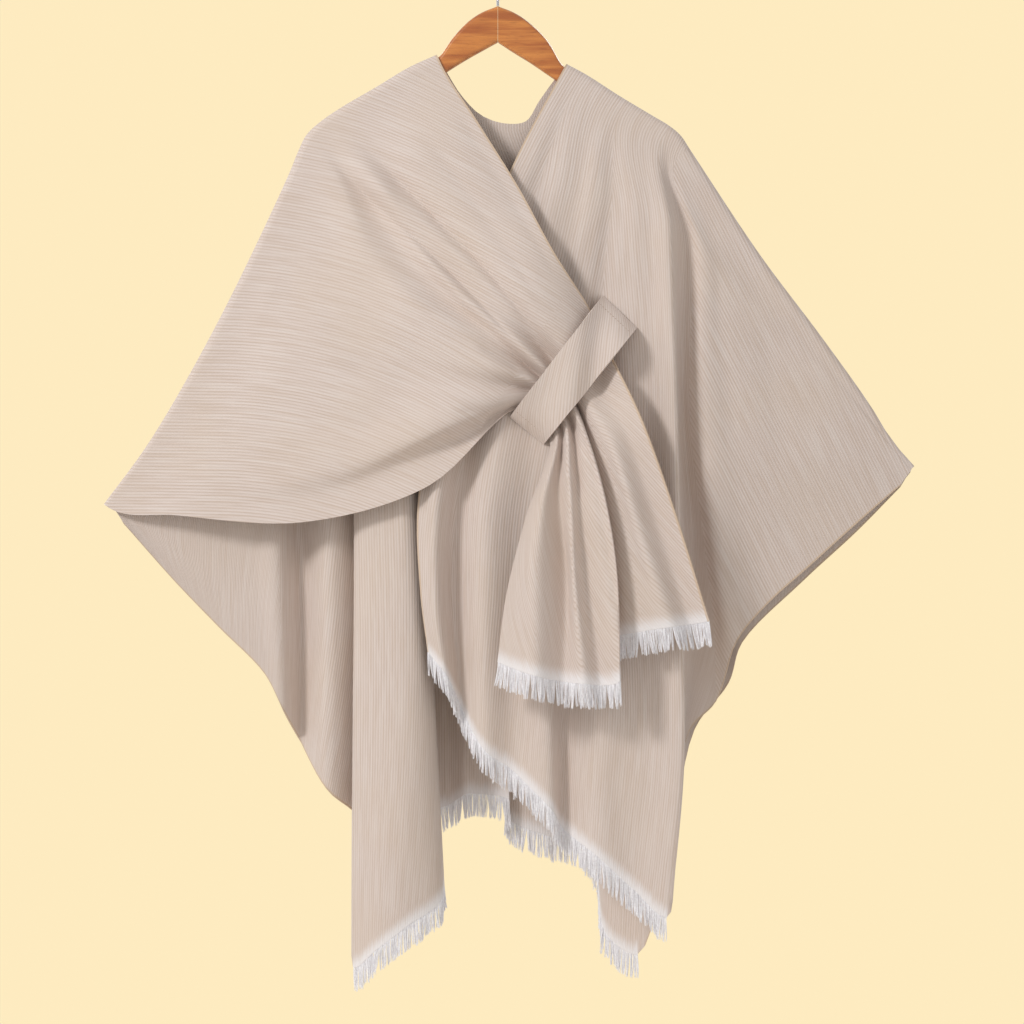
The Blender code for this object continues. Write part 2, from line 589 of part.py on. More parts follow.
def arm_sections(neck, path):
    """Upright sections from the joint out to the rounded end, below the shoulder fold."""
    sign = 1 if neck[-1].across > 0 else -1
    start = abs(path.points[0, 0])
    end = abs(FOLD_LEFT[5].across if sign > 0 else FOLD_RIGHT[5].across)
    sections = list(neck)
    sink = WALL / 2 + GAP
    for share in ARM_STOPS:
        across = sign * (start + (end - ARM_END_LENGTH - start) * share)
        slope = (path.drop_at(across + sign) - path.drop_at(across - sign)) / 2
        top = path.drop_at(across) + sink * math.hypot(1, slope)
        sections.append(Section(across, top, top + ARM_HEIGHT))
    last = sections[-1]
    slope = (last.top - sections[-2].top) / (abs(last.across) - abs(sections[-2].across))
    middle = (last.top + last.bottom) / 2
    room = end - abs(last.across)
    for angle in ARM_END_TURNS:
        reach = math.sin(math.radians(angle)) * room
        half = math.cos(math.radians(angle)) * ARM_HEIGHT / 2
        centre = middle + slope * reach
        sections.append(Section(last.across + sign * reach, centre - half, centre + half))
    return sections


def section_ring(section):
    """Points round an upright section with half-round top and bottom."""
    height = section.bottom - section.top
    cap = min(ARM_HALF * SECTION_ROUNDNESS, height / 2)
    half = ARM_HALF * min(1.0, (height / ARM_HEIGHT) ** 0.5)
    turns = [math.radians(angle) for angle in SECTION_TURNS]
    ring = [(half * math.sin(turn), section.top + cap * (1 - math.cos(turn))) for turn in turns]
    ring += [(half * math.sin(turn), section.bottom - cap * (1 - math.cos(turn)))
             for turn in turns[::-1]]
    ring += [(-depth, drop) for depth, drop in ring[-2:0:-1]]
    return [(section.across, depth, drop) for depth, drop in ring]


def build_arm(name, neck, path, material):
    mesh = bmesh.new()
    rings = []
    for section in arm_sections(neck, path):
        rings.append([mesh.verts.new(to_world(point)) for point in section_ring(section)])
    for ring, following in zip(rings, rings[1:]):
        for k in range(len(ring)):
            after = (k + 1) % len(ring)
            mesh.faces.new((ring[k], ring[after], following[after], following[k]))
    mesh.faces.new(rings[0])
    mesh.faces.new(rings[-1])
    return finish_mesh(name, mesh, material)


def hook_route():
    """The wire's middle line: up from the wood, round the hang point and down to a free end."""
    radius = HOOK_INSIDE + WIRE / 2
    foot = -WOOD_DROP + GAP
    route = [(across, foot + rise) for across, rise in HOOK_STEM]
    for angle in HOOK_TURNS:
        turn = math.radians(angle)
        route.append((radius * math.cos(turn), -HOOK_INSIDE + radius * math.sin(turn)))
    return route


def build_hook(material):
    curve = bpy.data.curves.new("hanger_hook", "CURVE")
    curve.dimensions = "3D"
    curve.bevel_depth = WIRE / 2 * MM
    curve.bevel_resolution = 2
    curve.use_fill_caps = True
    knots = hook_route()
    points = smooth_through(knots, [1] * (len(knots) - 1))
    spline = curve.splines.new("POLY")
    spline.points.add(len(points) - 1)
    for target, (across, height) in zip(spline.points, points):
        target.co = (across * MM, 0.0, height * MM, 1.0)
    piece = bpy.data.objects.new("hanger_hook", curve)
    bpy.context.scene.collection.objects.link(piece)
    curve.materials.append(material)
    return piece


def main():
    clear_scene()
    cloth = make_material("woven_cloth", CLOTH_COLOUR, 0.9)
    band_cloth = make_material("band_cloth", CLOTH_COLOUR, 0.9)
    threads = make_material("fringe_threads", FRINGE_COLOUR, 0.85)
    wood = make_material("varnished_wood", WOOD_COLOUR, 0.25)
    steel = make_material("hook_steel", STEEL_COLOUR, 0.25, 1.0)

    left_grid, left_top = hanging_points(LEFT_FOLDS, top_of_left, LEFT_DOWN, LEFT_ACROSS)
    left_walls = wall_sides(left_grid, -1, WALL, left_top)
    build_panel("front_left", *left_walls, cloth)

    right_grid, right_top = gathered_points(left_grid)
    right_walls = wall_sides(right_grid, -1, WALL, right_top)
    build_panel("front_right", *right_walls, cloth)

    back_grid, back_top = hanging_points(BACK_FOLDS, top_of_back, BACK_DOWN, BACK_ACROSS)
    back_walls = wall_sides(back_grid, 1, WALL, back_top)
    build_panel("back", *back_walls, cloth)

    build_band(left_grid, band_cloth)
    for spans, walls, across in (
            (RIGHT_FRINGES, right_walls, RIGHT_ACROSS),
            (LEFT_FRINGES, left_walls, LEFT_ACROSS),
            (BACK_FRINGES, back_walls, BACK_ACROSS)):
        for span in spans:
            build_fringe(span, *walls, across, threads)

    build_arm("hanger_right", HANGER_RIGHT_NECK, FOLD_PATH_RIGHT, wood)
    build_arm("hanger_left", HANGER_LEFT_NECK, FOLD_PATH_LEFT, wood)
    build_hook(steel)


main()
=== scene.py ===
import math
import random
from collections import namedtuple

import bmesh
import bpy
import numpy as np
from mathutils import Matrix, Vector, noise


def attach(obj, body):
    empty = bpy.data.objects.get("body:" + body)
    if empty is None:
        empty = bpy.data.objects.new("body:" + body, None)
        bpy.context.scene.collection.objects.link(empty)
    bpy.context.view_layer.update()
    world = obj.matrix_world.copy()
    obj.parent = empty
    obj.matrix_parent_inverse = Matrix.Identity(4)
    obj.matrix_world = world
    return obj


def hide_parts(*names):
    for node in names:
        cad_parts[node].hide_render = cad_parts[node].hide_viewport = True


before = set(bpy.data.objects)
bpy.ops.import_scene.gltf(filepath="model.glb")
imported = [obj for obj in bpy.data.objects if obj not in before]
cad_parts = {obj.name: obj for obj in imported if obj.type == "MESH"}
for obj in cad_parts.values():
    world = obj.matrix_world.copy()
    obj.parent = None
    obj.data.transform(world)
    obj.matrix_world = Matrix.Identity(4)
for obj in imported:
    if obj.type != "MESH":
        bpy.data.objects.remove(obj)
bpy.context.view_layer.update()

MM = 0.001

# Cloth
WALL = 1.7
GAP = 0.1
ROLL_RADIUS = 8.0
TIP_RADIUS = 3.0
ROLL_CELLS = 6
SCOOP_DEPTH = 9.0
NECK_TURN = 10.0
NECK_EASE = 60.0
NECK_TURNED = 0.95
NECK_CORNER_DROP = 4.0
NECK_EDGE_DROP = 8.0
LEAST_MITRE = 0.3

# Place of the hook above the wood, and the eye that the drops and widths were judged from
WOOD_DROP = 60.0
EYE_DISTANCE = 4500.0
EYE_ACROSS = 17.0
EYE_DROP = 607.0

# Hanger
ARM_HALF = 6.0
ARM_HEIGHT = 27.0
ARM_END_LENGTH = 22.0
WIRE = 3.5
HOOK_INSIDE = 19.0
HOOK_STEM = ((0, 0), (0, 4), (0, 8), (1.5, 12))
HOOK_TURNS = range(-50, 211, 20)
SECTION_ROUNDNESS = 1.1

# Loop band, placed by the corners of its entry edge and its exit edge, each as across and drop
BAND_WALL = 2.5
BAND_RISE = 39.0
BUNDLE_CLEAR = 5.0
BUNDLE_RISE = 29.0
BAND_FULLNESS = 5
BUNDLE_FULLNESS = 3
BAND_CELLS_LONG = 72
BAND_CELLS_WIDE = 16
Edge = namedtuple("Edge", "upper lower")
ENTRY = Edge((126, 347), (14, 493))
EXIT = Edge((167, 386), (55, 526))

# Shoulder fold from each side of the neck to the tips of the cloth, and the rounded neck edge
Seat = namedtuple("Seat", "across drop")
FOLD_RIGHT = [Seat(*row) for row in (
    (-73, 59), (-106, 74), (-146, 98), (-187, 122), (-212, 139), (-229, 155), (-239, 175),
    (-250, 202), (-334, 377), (-416, 521), (-472, 598))]
FOLD_LEFT = [Seat(*row) for row in (
    (82, 70), (106, 83), (145, 108), (185, 132), (205, 144), (219, 156), (231, 174),
    (314, 299), (386, 395), (446, 479), (472, 521), (505, 559))]
NECK = [Seat(*row) for row in (
    (-73, 59), (-61, 79), (-44, 106), (-20, 130), (10, 140), (34, 137), (49, 114), (66, 90), (82, 70))]
FOLD_TIP_LENGTH = 480.0
SEAT_CELLS = 12
SEAT_REACH = 2.0

# Fold lines of the right front. Place runs along the shoulder fold from the neck. The line passes
# the points upper, middle and lower, then the band at the places where it goes in and comes out,
# with its rise in the gathers at each, and spreads below through fan, skirt and hem.
Gathered = namedtuple("Gathered", "name place upper middle lower into rise_in out rise_out fan skirt hem")
RIGHT_FOLDS = [Gathered(*row) for row in (
    ("slit edge", 0, (-24, 139, -18), (24, 216, -30), (69, 298, -48),
     0.13, 0.60, 0.26, 0.60, (172, 493, -88), (212, 604, -96), (254, 738, -98)),
    ("slit facet", 34, (-62, 160, -22), (-2, 236, -36), (52, 315, -56),
     0.26, 0.85, 0.42, 0.50, (152, 505, -76), (190, 615, -84), (231, 742, -88)),
    ("upper ridge", 84, (-98, 196, -25), (-30, 275, -42), (32, 350, -62),
     0.42, 0.95, 0.56, 0.95, (138, 535, -92), (173, 642, -102), (209, 745, -106)),
    ("second crease", 130, (-122, 222, -18), (-58, 300, -33), (14, 371, -46),
     0.54, 0.25, 0.62, 0.70, (130, 540, -82), (156, 645, -92), (176, 750, -92)),
    ("narrow ridge", 160, (-128, 246, -26), (-64, 324, -46), (6, 388, -64),
     0.61, 0.90, 0.65, 0.15, (112, 542, -64), (125, 650, -72), (134, 762, -76)),
    ("main crease", 176, (-136, 266, -15), (-72, 338, -33), (2, 404, -45),
     0.67, 0.15, 0.69, 0.95, (120, 560, -97), (141, 670, -108), (146, 810, -112)),
    ("broad ridge", 200, (-152, 300, -28), (-84, 376, -50), (-6, 428, -66),
     0.72, 0.90, 0.74, 0.35, (94, 556, -76), (104, 680, -88), (124, 815, -95)),
    ("small crease", 262, (-182, 362, -24), (-104, 424, -41), (-18, 448, -56),
     0.78, 0.35, 0.785, 0.85, (85, 566, -90), (92, 690, -104), (104, 813, -108)),
    ("lower ridge", 390, (-252, 440, -24), (-150, 482, -42), (-32, 470, -64),
     0.84, 0.80, 0.82, 0.30, (73, 585, -70), (82, 690, -77), (80, 811, -87)),
    ("lip", 560, (-318, 560, -18), (-196, 556, -38), (-50, 500, -64),
     0.885, 0.90, 0.87, 0.90, (53, 600, -90), (46, 700, -103), (46, 804, -108)),
    ("lip valley", 640, (-360, 590, -14), (-214, 584, -28), (-66, 528, -42),
     0.91, 0.30, 0.90, 0.45, (43, 602, -77), (24, 702, -83), (22, 796, -90)),
    ("side edge", 691, (-385, 611, -14), (-232, 619, -28), (-82, 575, -46),
     0.94, 0.50, 0.93, 0.50, (34, 614, -69), (11, 705, -70), (0, 787, -70)))]

# Fold lines of the left front, from the slit to the tip. Each hangs from its place on the shoulder
# fold to the hem, or, beyond the main ridge, to the side edge.
Hanging = namedtuple("Hanging", "name place upper middle lower skirt bottom")
LEFT_FOLDS = [Hanging(*row) for row in (
    ("slit edge", 0, (14, 200, -13), (-52, 389, -18), (-95, 589, -26), (-93, 700, -30), (-84, 774, -30)),
    ("slit ridge", 10, (32, 206, -16), (-32, 392, -25), (-73, 590, -40), (-74, 712, -43), (-63, 801, -41)),
    ("slit valley", 22, (50, 212, -12), (-8, 396, -15), (-47, 585, -9), (-54, 697, -8), (-44, 840, -16)),
    ("inner ridge", 38, (72, 218, -17), (27, 402, -25), (-14, 592, -34), (-17, 725, -38), (-14, 895, -42)),
    ("inner valley", 55, (96, 225, -15), (62, 410, -20), (32, 603, -25), (24, 745, -29), (14, 914, -32)),
    ("centre ridge", 72, (120, 233, -19), (95, 418, -26), (74, 612, -36), (62, 785, -45), (64, 964, -54)),
    ("step valley", 86, (136, 240, -15), (118, 425, -18), (96, 620, -22), (80, 802, -26), (77, 985, -28)),
    ("outer rise", 102, (156, 247, -23), (148, 435, -32), (132, 640, -43), (122, 832, -54), (116, 1017, -62)),
    ("outer face", 122, (182, 256, -26), (182, 447, -37), (180, 660, -48), (174, 862, -57), (163, 1060, -62)),
    ("main ridge", 146, (206, 268, -34), (213, 470, -56), (217, 680, -66), (222, 900, -73), (203, 1093, -75)),
    ("return", 158, (215, 275, -18), (214, 476, -28), (219, 670, -36), (215, 860, -48), (210, 1000, -54)),
    ("deep valley", 168, (223, 282, -10), (222, 485, -11), (234, 650, -6), (235, 780, -14), (229, 871, -27)),
    ("valley side", 181, (233, 290, -13), (231, 492, -17), (247, 635, -17), (259, 740, -18), (262, 834, -21)),
    ("wing ridge", 200, (246, 305, -20), (243, 497, -30), (257, 625, -34), (271, 700, -34), (287, 762, -32)),
    ("wing", 255, (272, 335, -17), (282, 455, -24), (295, 570, -26), (308, 655, -24), (323, 718, -22)),
    ("wing middle", 365, (336, 396, -12), (345, 470, -16), (355, 545, -18), (364, 612, -16), (374, 672, -16)),
    ("wing end", 485, (407, 458, -9), (411, 500, -11), (416, 543, -12), (421, 585, -10), (427, 624, -10)),
    ("tip", 648, (495, 558, -4), (492, 562, -4), (489, 566, -4), (486, 570, -4), (483, 575, -4)))]

# Fold lines of the back, from the viewer's left tip to the right tip. Place is negative along the
# right shoulder fold, then runs along the neck edge, then along the left shoulder fold.
BACK_NECK = 229.0
BACK_FOLDS = [Hanging(*row) for row in (
    ("tip", -684, (-464, 597, 4), (-461, 602, 4), (-457, 608, 4), (-453, 614, 4), (-449, 621, 4)),
    ("wing end", -596, (-413, 548, 7), (-408, 583, 9), (-402, 620, 10), (-395, 655, 11), (-388, 690, 12)),
    ("wing", -480, (-356, 480, 10), (-351, 545, 13), (-346, 610, 14), (-341, 680, 15), (-335, 745, 16)),
    ("mid wing", -360, (-303, 405, 12), (-300, 505, 16), (-295, 605, 17), (-288, 705, 16), (-279, 802, 14)),
    ("side ridge", -285, (-271, 355, 12), (-270, 480, 14), (-266, 605, 14), (-261, 730, 12), (-257, 846, 10)),
    ("valley", -245, (-250, 330, 22), (-243, 465, 34), (-238, 605, 44), (-235, 745, 46), (-236, 884, 42)),
    ("second ridge", -218, (-226, 315, 12), (-212, 455, 8), (-204, 605, 6), (-203, 765, 6), (-205, 940, 6)),
    ("hidden", -196, (-196, 310, 20), (-164, 455, 34), (-152, 605, 42), (-150, 785, 44), (-160, 985, 42)),
    ("lobe edge", -178, (-196, 305, 10), (-175, 455, 2), (-172, 620, -3), (-173, 860, -6), (-173, 1153, -7)),
    ("front", -160, (-165, 300, 7), (-146, 455, -8), (-138, 620, -20), (-136, 860, -26), (-146, 1133, -28)),
    ("lobe", -130, (-136, 290, 7), (-116, 455, -8), (-105, 620, -20), (-102, 850, -28), (-109, 1104, -30)),
    ("lobe side", -100, (-112, 280, 11), (-99, 450, 4), (-90, 620, -2), (-78, 830, -6), (-67, 1070, -8)),
    ("deep return", -76, (-98, 270, 24), (-94, 440, 42), (-88, 610, 56), (-83, 790, 64), (-78, 968, 66)),
    ("deep fold", -52, (-76, 262, 28), (-70, 430, 48), (-62, 600, 64), (-58, 780, 71), (-58, 958, 73)),
    ("first step", -12, (-52, 255, 22), (-44, 420, 38), (-38, 590, 50), (-36, 765, 54), (-37, 945, 55)),
    ("step side", 0, (-46, 253, 23), (-39, 420, 41), (-33, 590, 54), (-30, 765, 59), (-30, 945, 60)),
    ("step valley", 36, (-34, 250, 26), (-28, 420, 48), (-22, 590, 62), (-17, 765, 68), (-14, 946, 69)),
    ("second step", 104, (-2, 255, 22), (3, 425, 38), (8, 595, 48), (12, 770, 54), (13, 952, 55)),
    ("step return", 121, (12, 258, 28), (12, 425, 50), (10, 600, 63), (9, 790, 69), (11, 974, 69)),
    ("behind", 150, (34, 258, 26), (42, 425, 46), (50, 600, 60), (56, 790, 67), (61, 996, 70)),
    ("deep middle", 194, (66, 250, 27), (74, 425, 50), (84, 600, 68), (93, 790, 77), (100, 1008, 80)),
    ("turn", 229, (98, 245, 23), (105, 425, 42), (112, 600, 58), (118, 790, 66), (120, 1040, 60)),
    ("turn side", 241, (103, 245, 22), (109, 425, 38), (116, 600, 51), (122, 790, 57), (122, 1062, 51)),
    ("forward turn", 290, (124, 248, 17), (130, 430, 26), (136, 610, 31), (137, 800, 30), (130, 1112, 26)),
    ("corner", 334, (154, 258, 12), (162, 440, 11), (170, 630, 10), (174, 830, 8), (168, 1137, 6)),
    ("corner return", 370, (190, 270, 7), (197, 440, 4), (203, 620, 2), (206, 790, 0), (207, 1000, 0)),
    ("left valley", 392, (222, 285, 12), (225, 430, 18), (229, 570, 22), (233, 710, 22), (236, 868, 18)),
    ("left ridge", 430, (249, 310, 9), (253, 435, 11), (259, 560, 12), (267, 685, 11), (277, 812, 8)),
    ("left wing", 484, (275, 350, 8), (281, 455, 8), (288, 560, 7), (294, 660, 5), (293, 764, 3)),
    ("left wing middle", 590, (336, 398, 7), (342, 470, 8), (349, 545, 8), (357, 620, 8), (366, 690, 6)),
    ("left wing end", 712, (406, 460, 6), (410, 502, 7), (415, 545, 7), (422, 588, 7), (431, 630, 6)),
    ("left tip", 876, (495, 559, 4), (492, 563, 4), (489, 567, 4), (486, 572, 4), (483, 577, 4)))]

# Fine steps between fold lines and between the points down a line
RIGHT_ACROSS = 10
RIGHT_DOWN = (14, 13, 13, 8, 6, 6, 10, 13, 15)
LEFT_ACROSS = 6
LEFT_DOWN = (16, 16, 18, 18, 20)
BACK_ACROSS = 6
BACK_DOWN = (16, 16, 18, 18, 20)

# Weave charts. A chart runs between two fold lines, its ribs keep their distance from the guide
# line, and lean is the angle of the ribs to that line in degrees.
Chart = namedtuple("Chart", "first last guide lean")
RIGHT_CHARTS = [Chart(0, 3, 1, 28), Chart(3, 5, 4, 28), Chart(5, 7, 6, 28), Chart(7, 9, 8, 28),
                Chart(9, 11, 10, 28)]
LEFT_CHARTS = [Chart(0, 2, 1, 4), Chart(2, 6, 4, 2), Chart(6, 9, 9, 0), Chart(9, 12, 9, -10),
               Chart(12, 17, 13, -27)]
BACK_CHARTS = [Chart(0, 4, 3, 18), Chart(4, 7, 5, 6), Chart(7, 12, 9, 0), Chart(12, 20, 16, 0),
               Chart(20, 25, 22, -4), Chart(25, 31, 27, -20)]


# Curves and frames

def unit(vectors):
    return vectors / np.maximum(np.linalg.norm(vectors, axis=-1, keepdims=True), 1e-9)


def between(first, last, share):
    return first + (last - first) * share


def lengths_along(points, axis=0):
    """The distance of each point from the first one of its line."""
    steps = np.linalg.norm(np.diff(points, axis=axis), axis=-1)
    return np.insert(np.cumsum(steps, axis=axis), 0, 0.0, axis=axis)


def smooth_through(knots, cells, lead=None):
    """Points on a smooth curve through the knots, with cells[i] steps in span i."""
    knots = np.asarray(knots, dtype=float)
    steps = np.diff(knots, axis=0)
    spans = np.maximum(np.linalg.norm(steps, axis=1), 1e-6) ** 0.5
    rates = steps / spans[:, None]
    slopes = np.empty_like(knots)
    slopes[0] = rates[0] if lead is None else lead * np.linalg.norm(rates[0])
    slopes[-1] = rates[-1]
    before = spans[:-1, None]
    after = spans[1:, None]
    slopes[1:-1] = (rates[1:] * before + rates[:-1] * after) / (before + after)
    points = [knots[:1]]
    for index, count in enumerate(cells):
        t = (np.arange(1, count + 1) / count)[:, None]
        span = spans[index]
        points.append((2 * t**3 - 3 * t**2 + 1) * knots[index]
                      + (t**3 - 2 * t**2 + t) * span * slopes[index]
                      + (3 * t**2 - 2 * t**3) * knots[index + 1]
                      + (t**3 - t**2) * span * slopes[index + 1])
    return np.concatenate(points)


def seen_at(across, drop, depth):
    """The point at this depth that the eye sees at across and drop on the hanger's plane."""
    scale = (EYE_DISTANCE + depth) / EYE_DISTANCE
    return np.array([EYE_ACROSS + (across - EYE_ACROSS) * scale, depth,
                     EYE_DROP + (drop - EYE_DROP) * scale])


class SeatPath:
    """A curve in the hanger's plane, read by the distance along it."""

    def __init__(self, seats):
        self.points = smooth_through(seats, [SEAT_CELLS] * (len(seats) - 1))
        self.places = lengths_along(self.points)
        self.length = self.places[-1]

    def at(self, place):
        return np.array([np.interp(place, self.places, self.points[:, k]) for k in (0, 1)])

    def inward(self, place):
        """The direction square to the curve that points down into the cloth."""
        along = self.at(min(place + SEAT_REACH, self.length)) - self.at(max(place - SEAT_REACH, 0.0))
        square = np.array([along[1], -along[0]]) / np.linalg.norm(along)
        return square if square[1] > 0 else -square

    def drop_at(self, across):
        order = np.argsort(self.points[:, 0])
        return np.interp(across, self.points[order, 0], self.points[order, 1])


FOLD_PATH_RIGHT = SeatPath(FOLD_RIGHT)
FOLD_PATH_LEFT = SeatPath(FOLD_LEFT)
NECK_PATH = SeatPath(NECK)


def roll_over(path, place, side):
    """A quarter turn of cloth from the shoulder fold to the front (side -1) or back (side 1)."""
    seat = path.at(place)
    inward = path.inward(place)
    slim = min(max((place - FOLD_TIP_LENGTH) / (path.length - FOLD_TIP_LENGTH), 0.0), 1.0)
    radius = between(ROLL_RADIUS, TIP_RADIUS, slim)
    turned = min(max(1.0 - place / NECK_TURN, 0.0), 1.0) if side > 0 else 0.0
    first = math.pi / 2 * turned
    rows = []
    for step in range(ROLL_CELLS + 1):
        angle = between(first, math.pi / 2, step / ROLL_CELLS)
        sink = radius * (1 - math.cos(angle))
        if turned > NECK_TURNED:
            sink += NECK_CORNER_DROP * step / ROLL_CELLS
        reach = between(GAP / 2, radius, math.sin(angle))
        rows.append((seat[0] + inward[0] * sink, side * reach, seat[1] + inward[1] * sink))
    facing = np.array([-inward[0] * math.cos(first), side * math.sin(first), -inward[1] * math.cos(first)])
    share = min(place / NECK_EASE, 1.0) if side > 0 else 1.0
    lead = unit(np.array([inward[0] * share, 0.0, inward[1]]))
    return np.array(rows), lead, facing


def neck_edge(place):
    """The raw edge of the back at the neck, behind the hanger."""
    seat = NECK_PATH.at(place)
    inward = NECK_PATH.inward(place)
    turn = min(place, NECK_PATH.length - place)
    depth = between(ROLL_RADIUS, SCOOP_DEPTH, min(turn / NECK_TURN, 1.0))
    drops = [seat[1] + NECK_EDGE_DROP * step / ROLL_CELLS for step in range(ROLL_CELLS + 1)]
    rows = [(seat[0], depth, drop) for drop in drops]
    return np.array(rows), np.array([0.0, 0.0, 1.0]), np.array([0.0, 1.0, 0.0])


def top_of_right(place):
    return roll_over(FOLD_PATH_RIGHT, place, -1)


def top_of_left(place):
    return roll_over(FOLD_PATH_LEFT, place, -1)


def top_of_back(place):
    if place <= 0.0:
        return roll_over(FOLD_PATH_RIGHT, -place, 1)
    if place >= BACK_NECK:
        return roll_over(FOLD_PATH_LEFT, place - BACK_NECK, 1)
    return neck_edge(place * NECK_PATH.length / BACK_NECK)


# Panels

def panel_points(places, routes, top, down, across):
    """The middle of a panel's wall as rows of points, and the outward direction of its top row."""
    lines = []
    for place, route in zip(places, routes):
        rows, lead, _ = top(place)
        lines.append(smooth_through([rows[-1], *route], down, lead))
    lines = np.array(lines)
    spread = [across] * (len(places) - 1)
    grid = np.array([smooth_through(lines[:, row], spread) for row in range(lines.shape[1])])
    columns = np.arange(grid.shape[1]) / across
    column_places = np.interp(columns, np.arange(len(places)), places)
    tops = [top(place) for place in column_places]
    rolls = np.array([rows for rows, _, _ in tops]).transpose(1, 0, 2)
    facing = np.array([face for _, _, face in tops])
    slip = rolls[-1] - grid[0]
    for row in range(down[0]):
        grid[row] += slip * (1 - row / down[0])
    return np.concatenate([rolls[:-1], grid]), facing


def wall_sides(grid, outward, wall, facing=None):
    """The outer and inner points of a wall round a grid of middle points, mitred at the folds."""
    down = np.gradient(grid, axis=0)
    steps = np.diff(grid, axis=1)
    before = unit(np.cross(np.concatenate([steps[:, :1], steps], axis=1), down))
    after = unit(np.cross(np.concatenate([steps, steps[:, -1:]], axis=1), down))
    normals = unit(before + after)
    mitre = np.maximum(np.sum(normals * after, axis=2, keepdims=True), LEAST_MITRE)
    if np.mean(normals[:, :, 1]) * outward < 0:
        normals = -normals
    shift = normals / mitre * wall / 2
    if facing is not None:
        shift[0] = facing * wall / 2
    return grid + shift, grid - shift


def to_world(point):
    return (point[0] * MM, point[1] * MM, -(WOOD_DROP + point[2]) * MM)


def hanging_points(folds, top, down, across):
    routes = []
    for fold in folds:
        stops = (fold.upper, fold.middle, fold.lower, fold.skirt, fold.bottom)
        routes.append([seen_at(x, z, y) for x, z, y in stops])
    return panel_points([fold.place for fold in folds], routes, top, down, across)


LEAST_AREA = 1e-9
SLACK = 1e-6


def view_area(first, second):
    return first[:, 0] * second[:, 2] - second[:, 0] * first[:, 2]


def depth_of(grid, across, drop):
    """The depth of the front of a panel at a point of the view, from its triangles."""
    parts = (grid[:-1, :-1], grid[:-1, 1:], grid[1:, :-1], grid[1:, 1:])
    a, b, c, d = [part.reshape(-1, 3) for part in parts]
    corner = np.concatenate([a, d])
    first = np.concatenate([b, c]) - corner
    second = np.concatenate([c, b]) - corner
    way = np.array([across, 0.0, drop]) - corner
    area = view_area(first, second)
    area = np.where(np.abs(area) < LEAST_AREA, LEAST_AREA, area)
    u = view_area(way, second) / area
    v = view_area(first, way) / area
    inside = (u >= -SLACK) & (v >= -SLACK) & (u + v <= 1 + SLACK)
    depths = corner[:, 1] + u * first[:, 1] + v * second[:, 1]
    return depths[inside].min()


# Loop band and the cloth gathered in it

def in_band(place, share):
    """Across and drop of a point of the band. Share 0 is the edge of entry and 1 the edge of exit."""
    into, out = [between(np.array(edge.upper), np.array(edge.lower), place) for edge in (ENTRY, EXIT)]
    return between(into, out, share)


def hump(place, fullness):
    return 1 - abs(2 * place - 1) ** fullness


def gathered_points(left_grid):
    """The right front, which runs through the band in front of the left front."""
    routes = []
    for fold in RIGHT_FOLDS:
        route = [seen_at(x, z, y) for x, z, y in (fold.upper, fold.middle, fold.lower)]
        for share in (0.0, 0.5, 1.0):
            place = between(fold.into, fold.out, share)
            rise = BUNDLE_RISE * hump(place, BUNDLE_FULLNESS) * between(fold.rise_in, fold.rise_out, share)
            across, drop = in_band(place, share)
            depth = depth_of(left_grid, across, drop) - BUNDLE_CLEAR - rise
            route.append(seen_at(across, drop, depth))
        route += [seen_at(x, z, y) for x, z, y in (fold.fan, fold.skirt, fold.hem)]
        routes.append(route)
    places = [fold.place for fold in RIGHT_FOLDS]
    return panel_points(places, routes, top_of_right, RIGHT_DOWN, RIGHT_ACROSS)


def band_points(left_grid):
    """The middle of the band's wall: its ends lie on the left front and it arches between them."""
    seat_clear = WALL / 2 + GAP + BAND_WALL / 2
    rows = []
    for place in np.linspace(0, 1, BAND_CELLS_LONG + 1):
        row = []
        for share in np.linspace(0, 1, BAND_CELLS_WIDE + 1):
            across, drop = in_band(place, share)
            depth = depth_of(left_grid, across, drop) - seat_clear - BAND_RISE * hump(place, BAND_FULLNESS)
            row.append(seen_at(across, drop, depth))
        rows.append(row)
    return np.array(rows)


# Fine form: soft creases and a slight unevenness, pressed into the panels along the view

Crease = namedtuple("Crease", "width depth route")
RIGHT_CREASES = [Crease(*row) for row in (
    (7, 10.0, ((-215, 176), (-120, 262), (-35, 345), (50, 439))),
    (12, -8.0, ((-196, 165), (-100, 252), (-10, 340), (57, 424))),
    (8, 9.0, ((-172, 160), (-80, 250), (2, 338), (66, 417))),
    (5, 4.5, ((-25, 412), (5, 426), (38, 450))),
    (9, -3.5, ((-150, 330), (-70, 372), (-10, 398), (40, 428))),
    (9, 3.0, ((-205, 290), (-130, 345), (-60, 395), (0, 436))),
    (8, -3.0, ((-215, 335), (-140, 392), (-70, 428), (8, 452))),
    (9, 3.0, ((-210, 420), (-130, 446), (-60, 460), (2, 470))),
    (6, 3.5, ((-50, 488), (-15, 487), (10, 492))),
    (10, 2.0, ((-60, 110), (-10, 190), (40, 275), (82, 350))),
    (9, 2.2, ((-100, 140), (-40, 220), (20, 310), (62, 380))),
    (12, 2.5, ((-300, 470), (-200, 500), (-120, 500))),
    (8, -2.5, ((-250, 250), (-270, 330), (-300, 400))),
    (7, 4.0, ((112, 480), (140, 560), (160, 640), (186, 730))),
    (4, 5.0, ((90, 486), (112, 560), (130, 660), (149, 776))),
    (5, 6.0, ((88, 490), (92, 530), (97, 598))),
    (4, 4.5, ((73, 514), (80, 570), (88, 655))),
    (6, -3.0, ((48, 545), (40, 620), (36, 720))),
    (5, 2.0, ((146, 460), (172, 520), (200, 610))))]
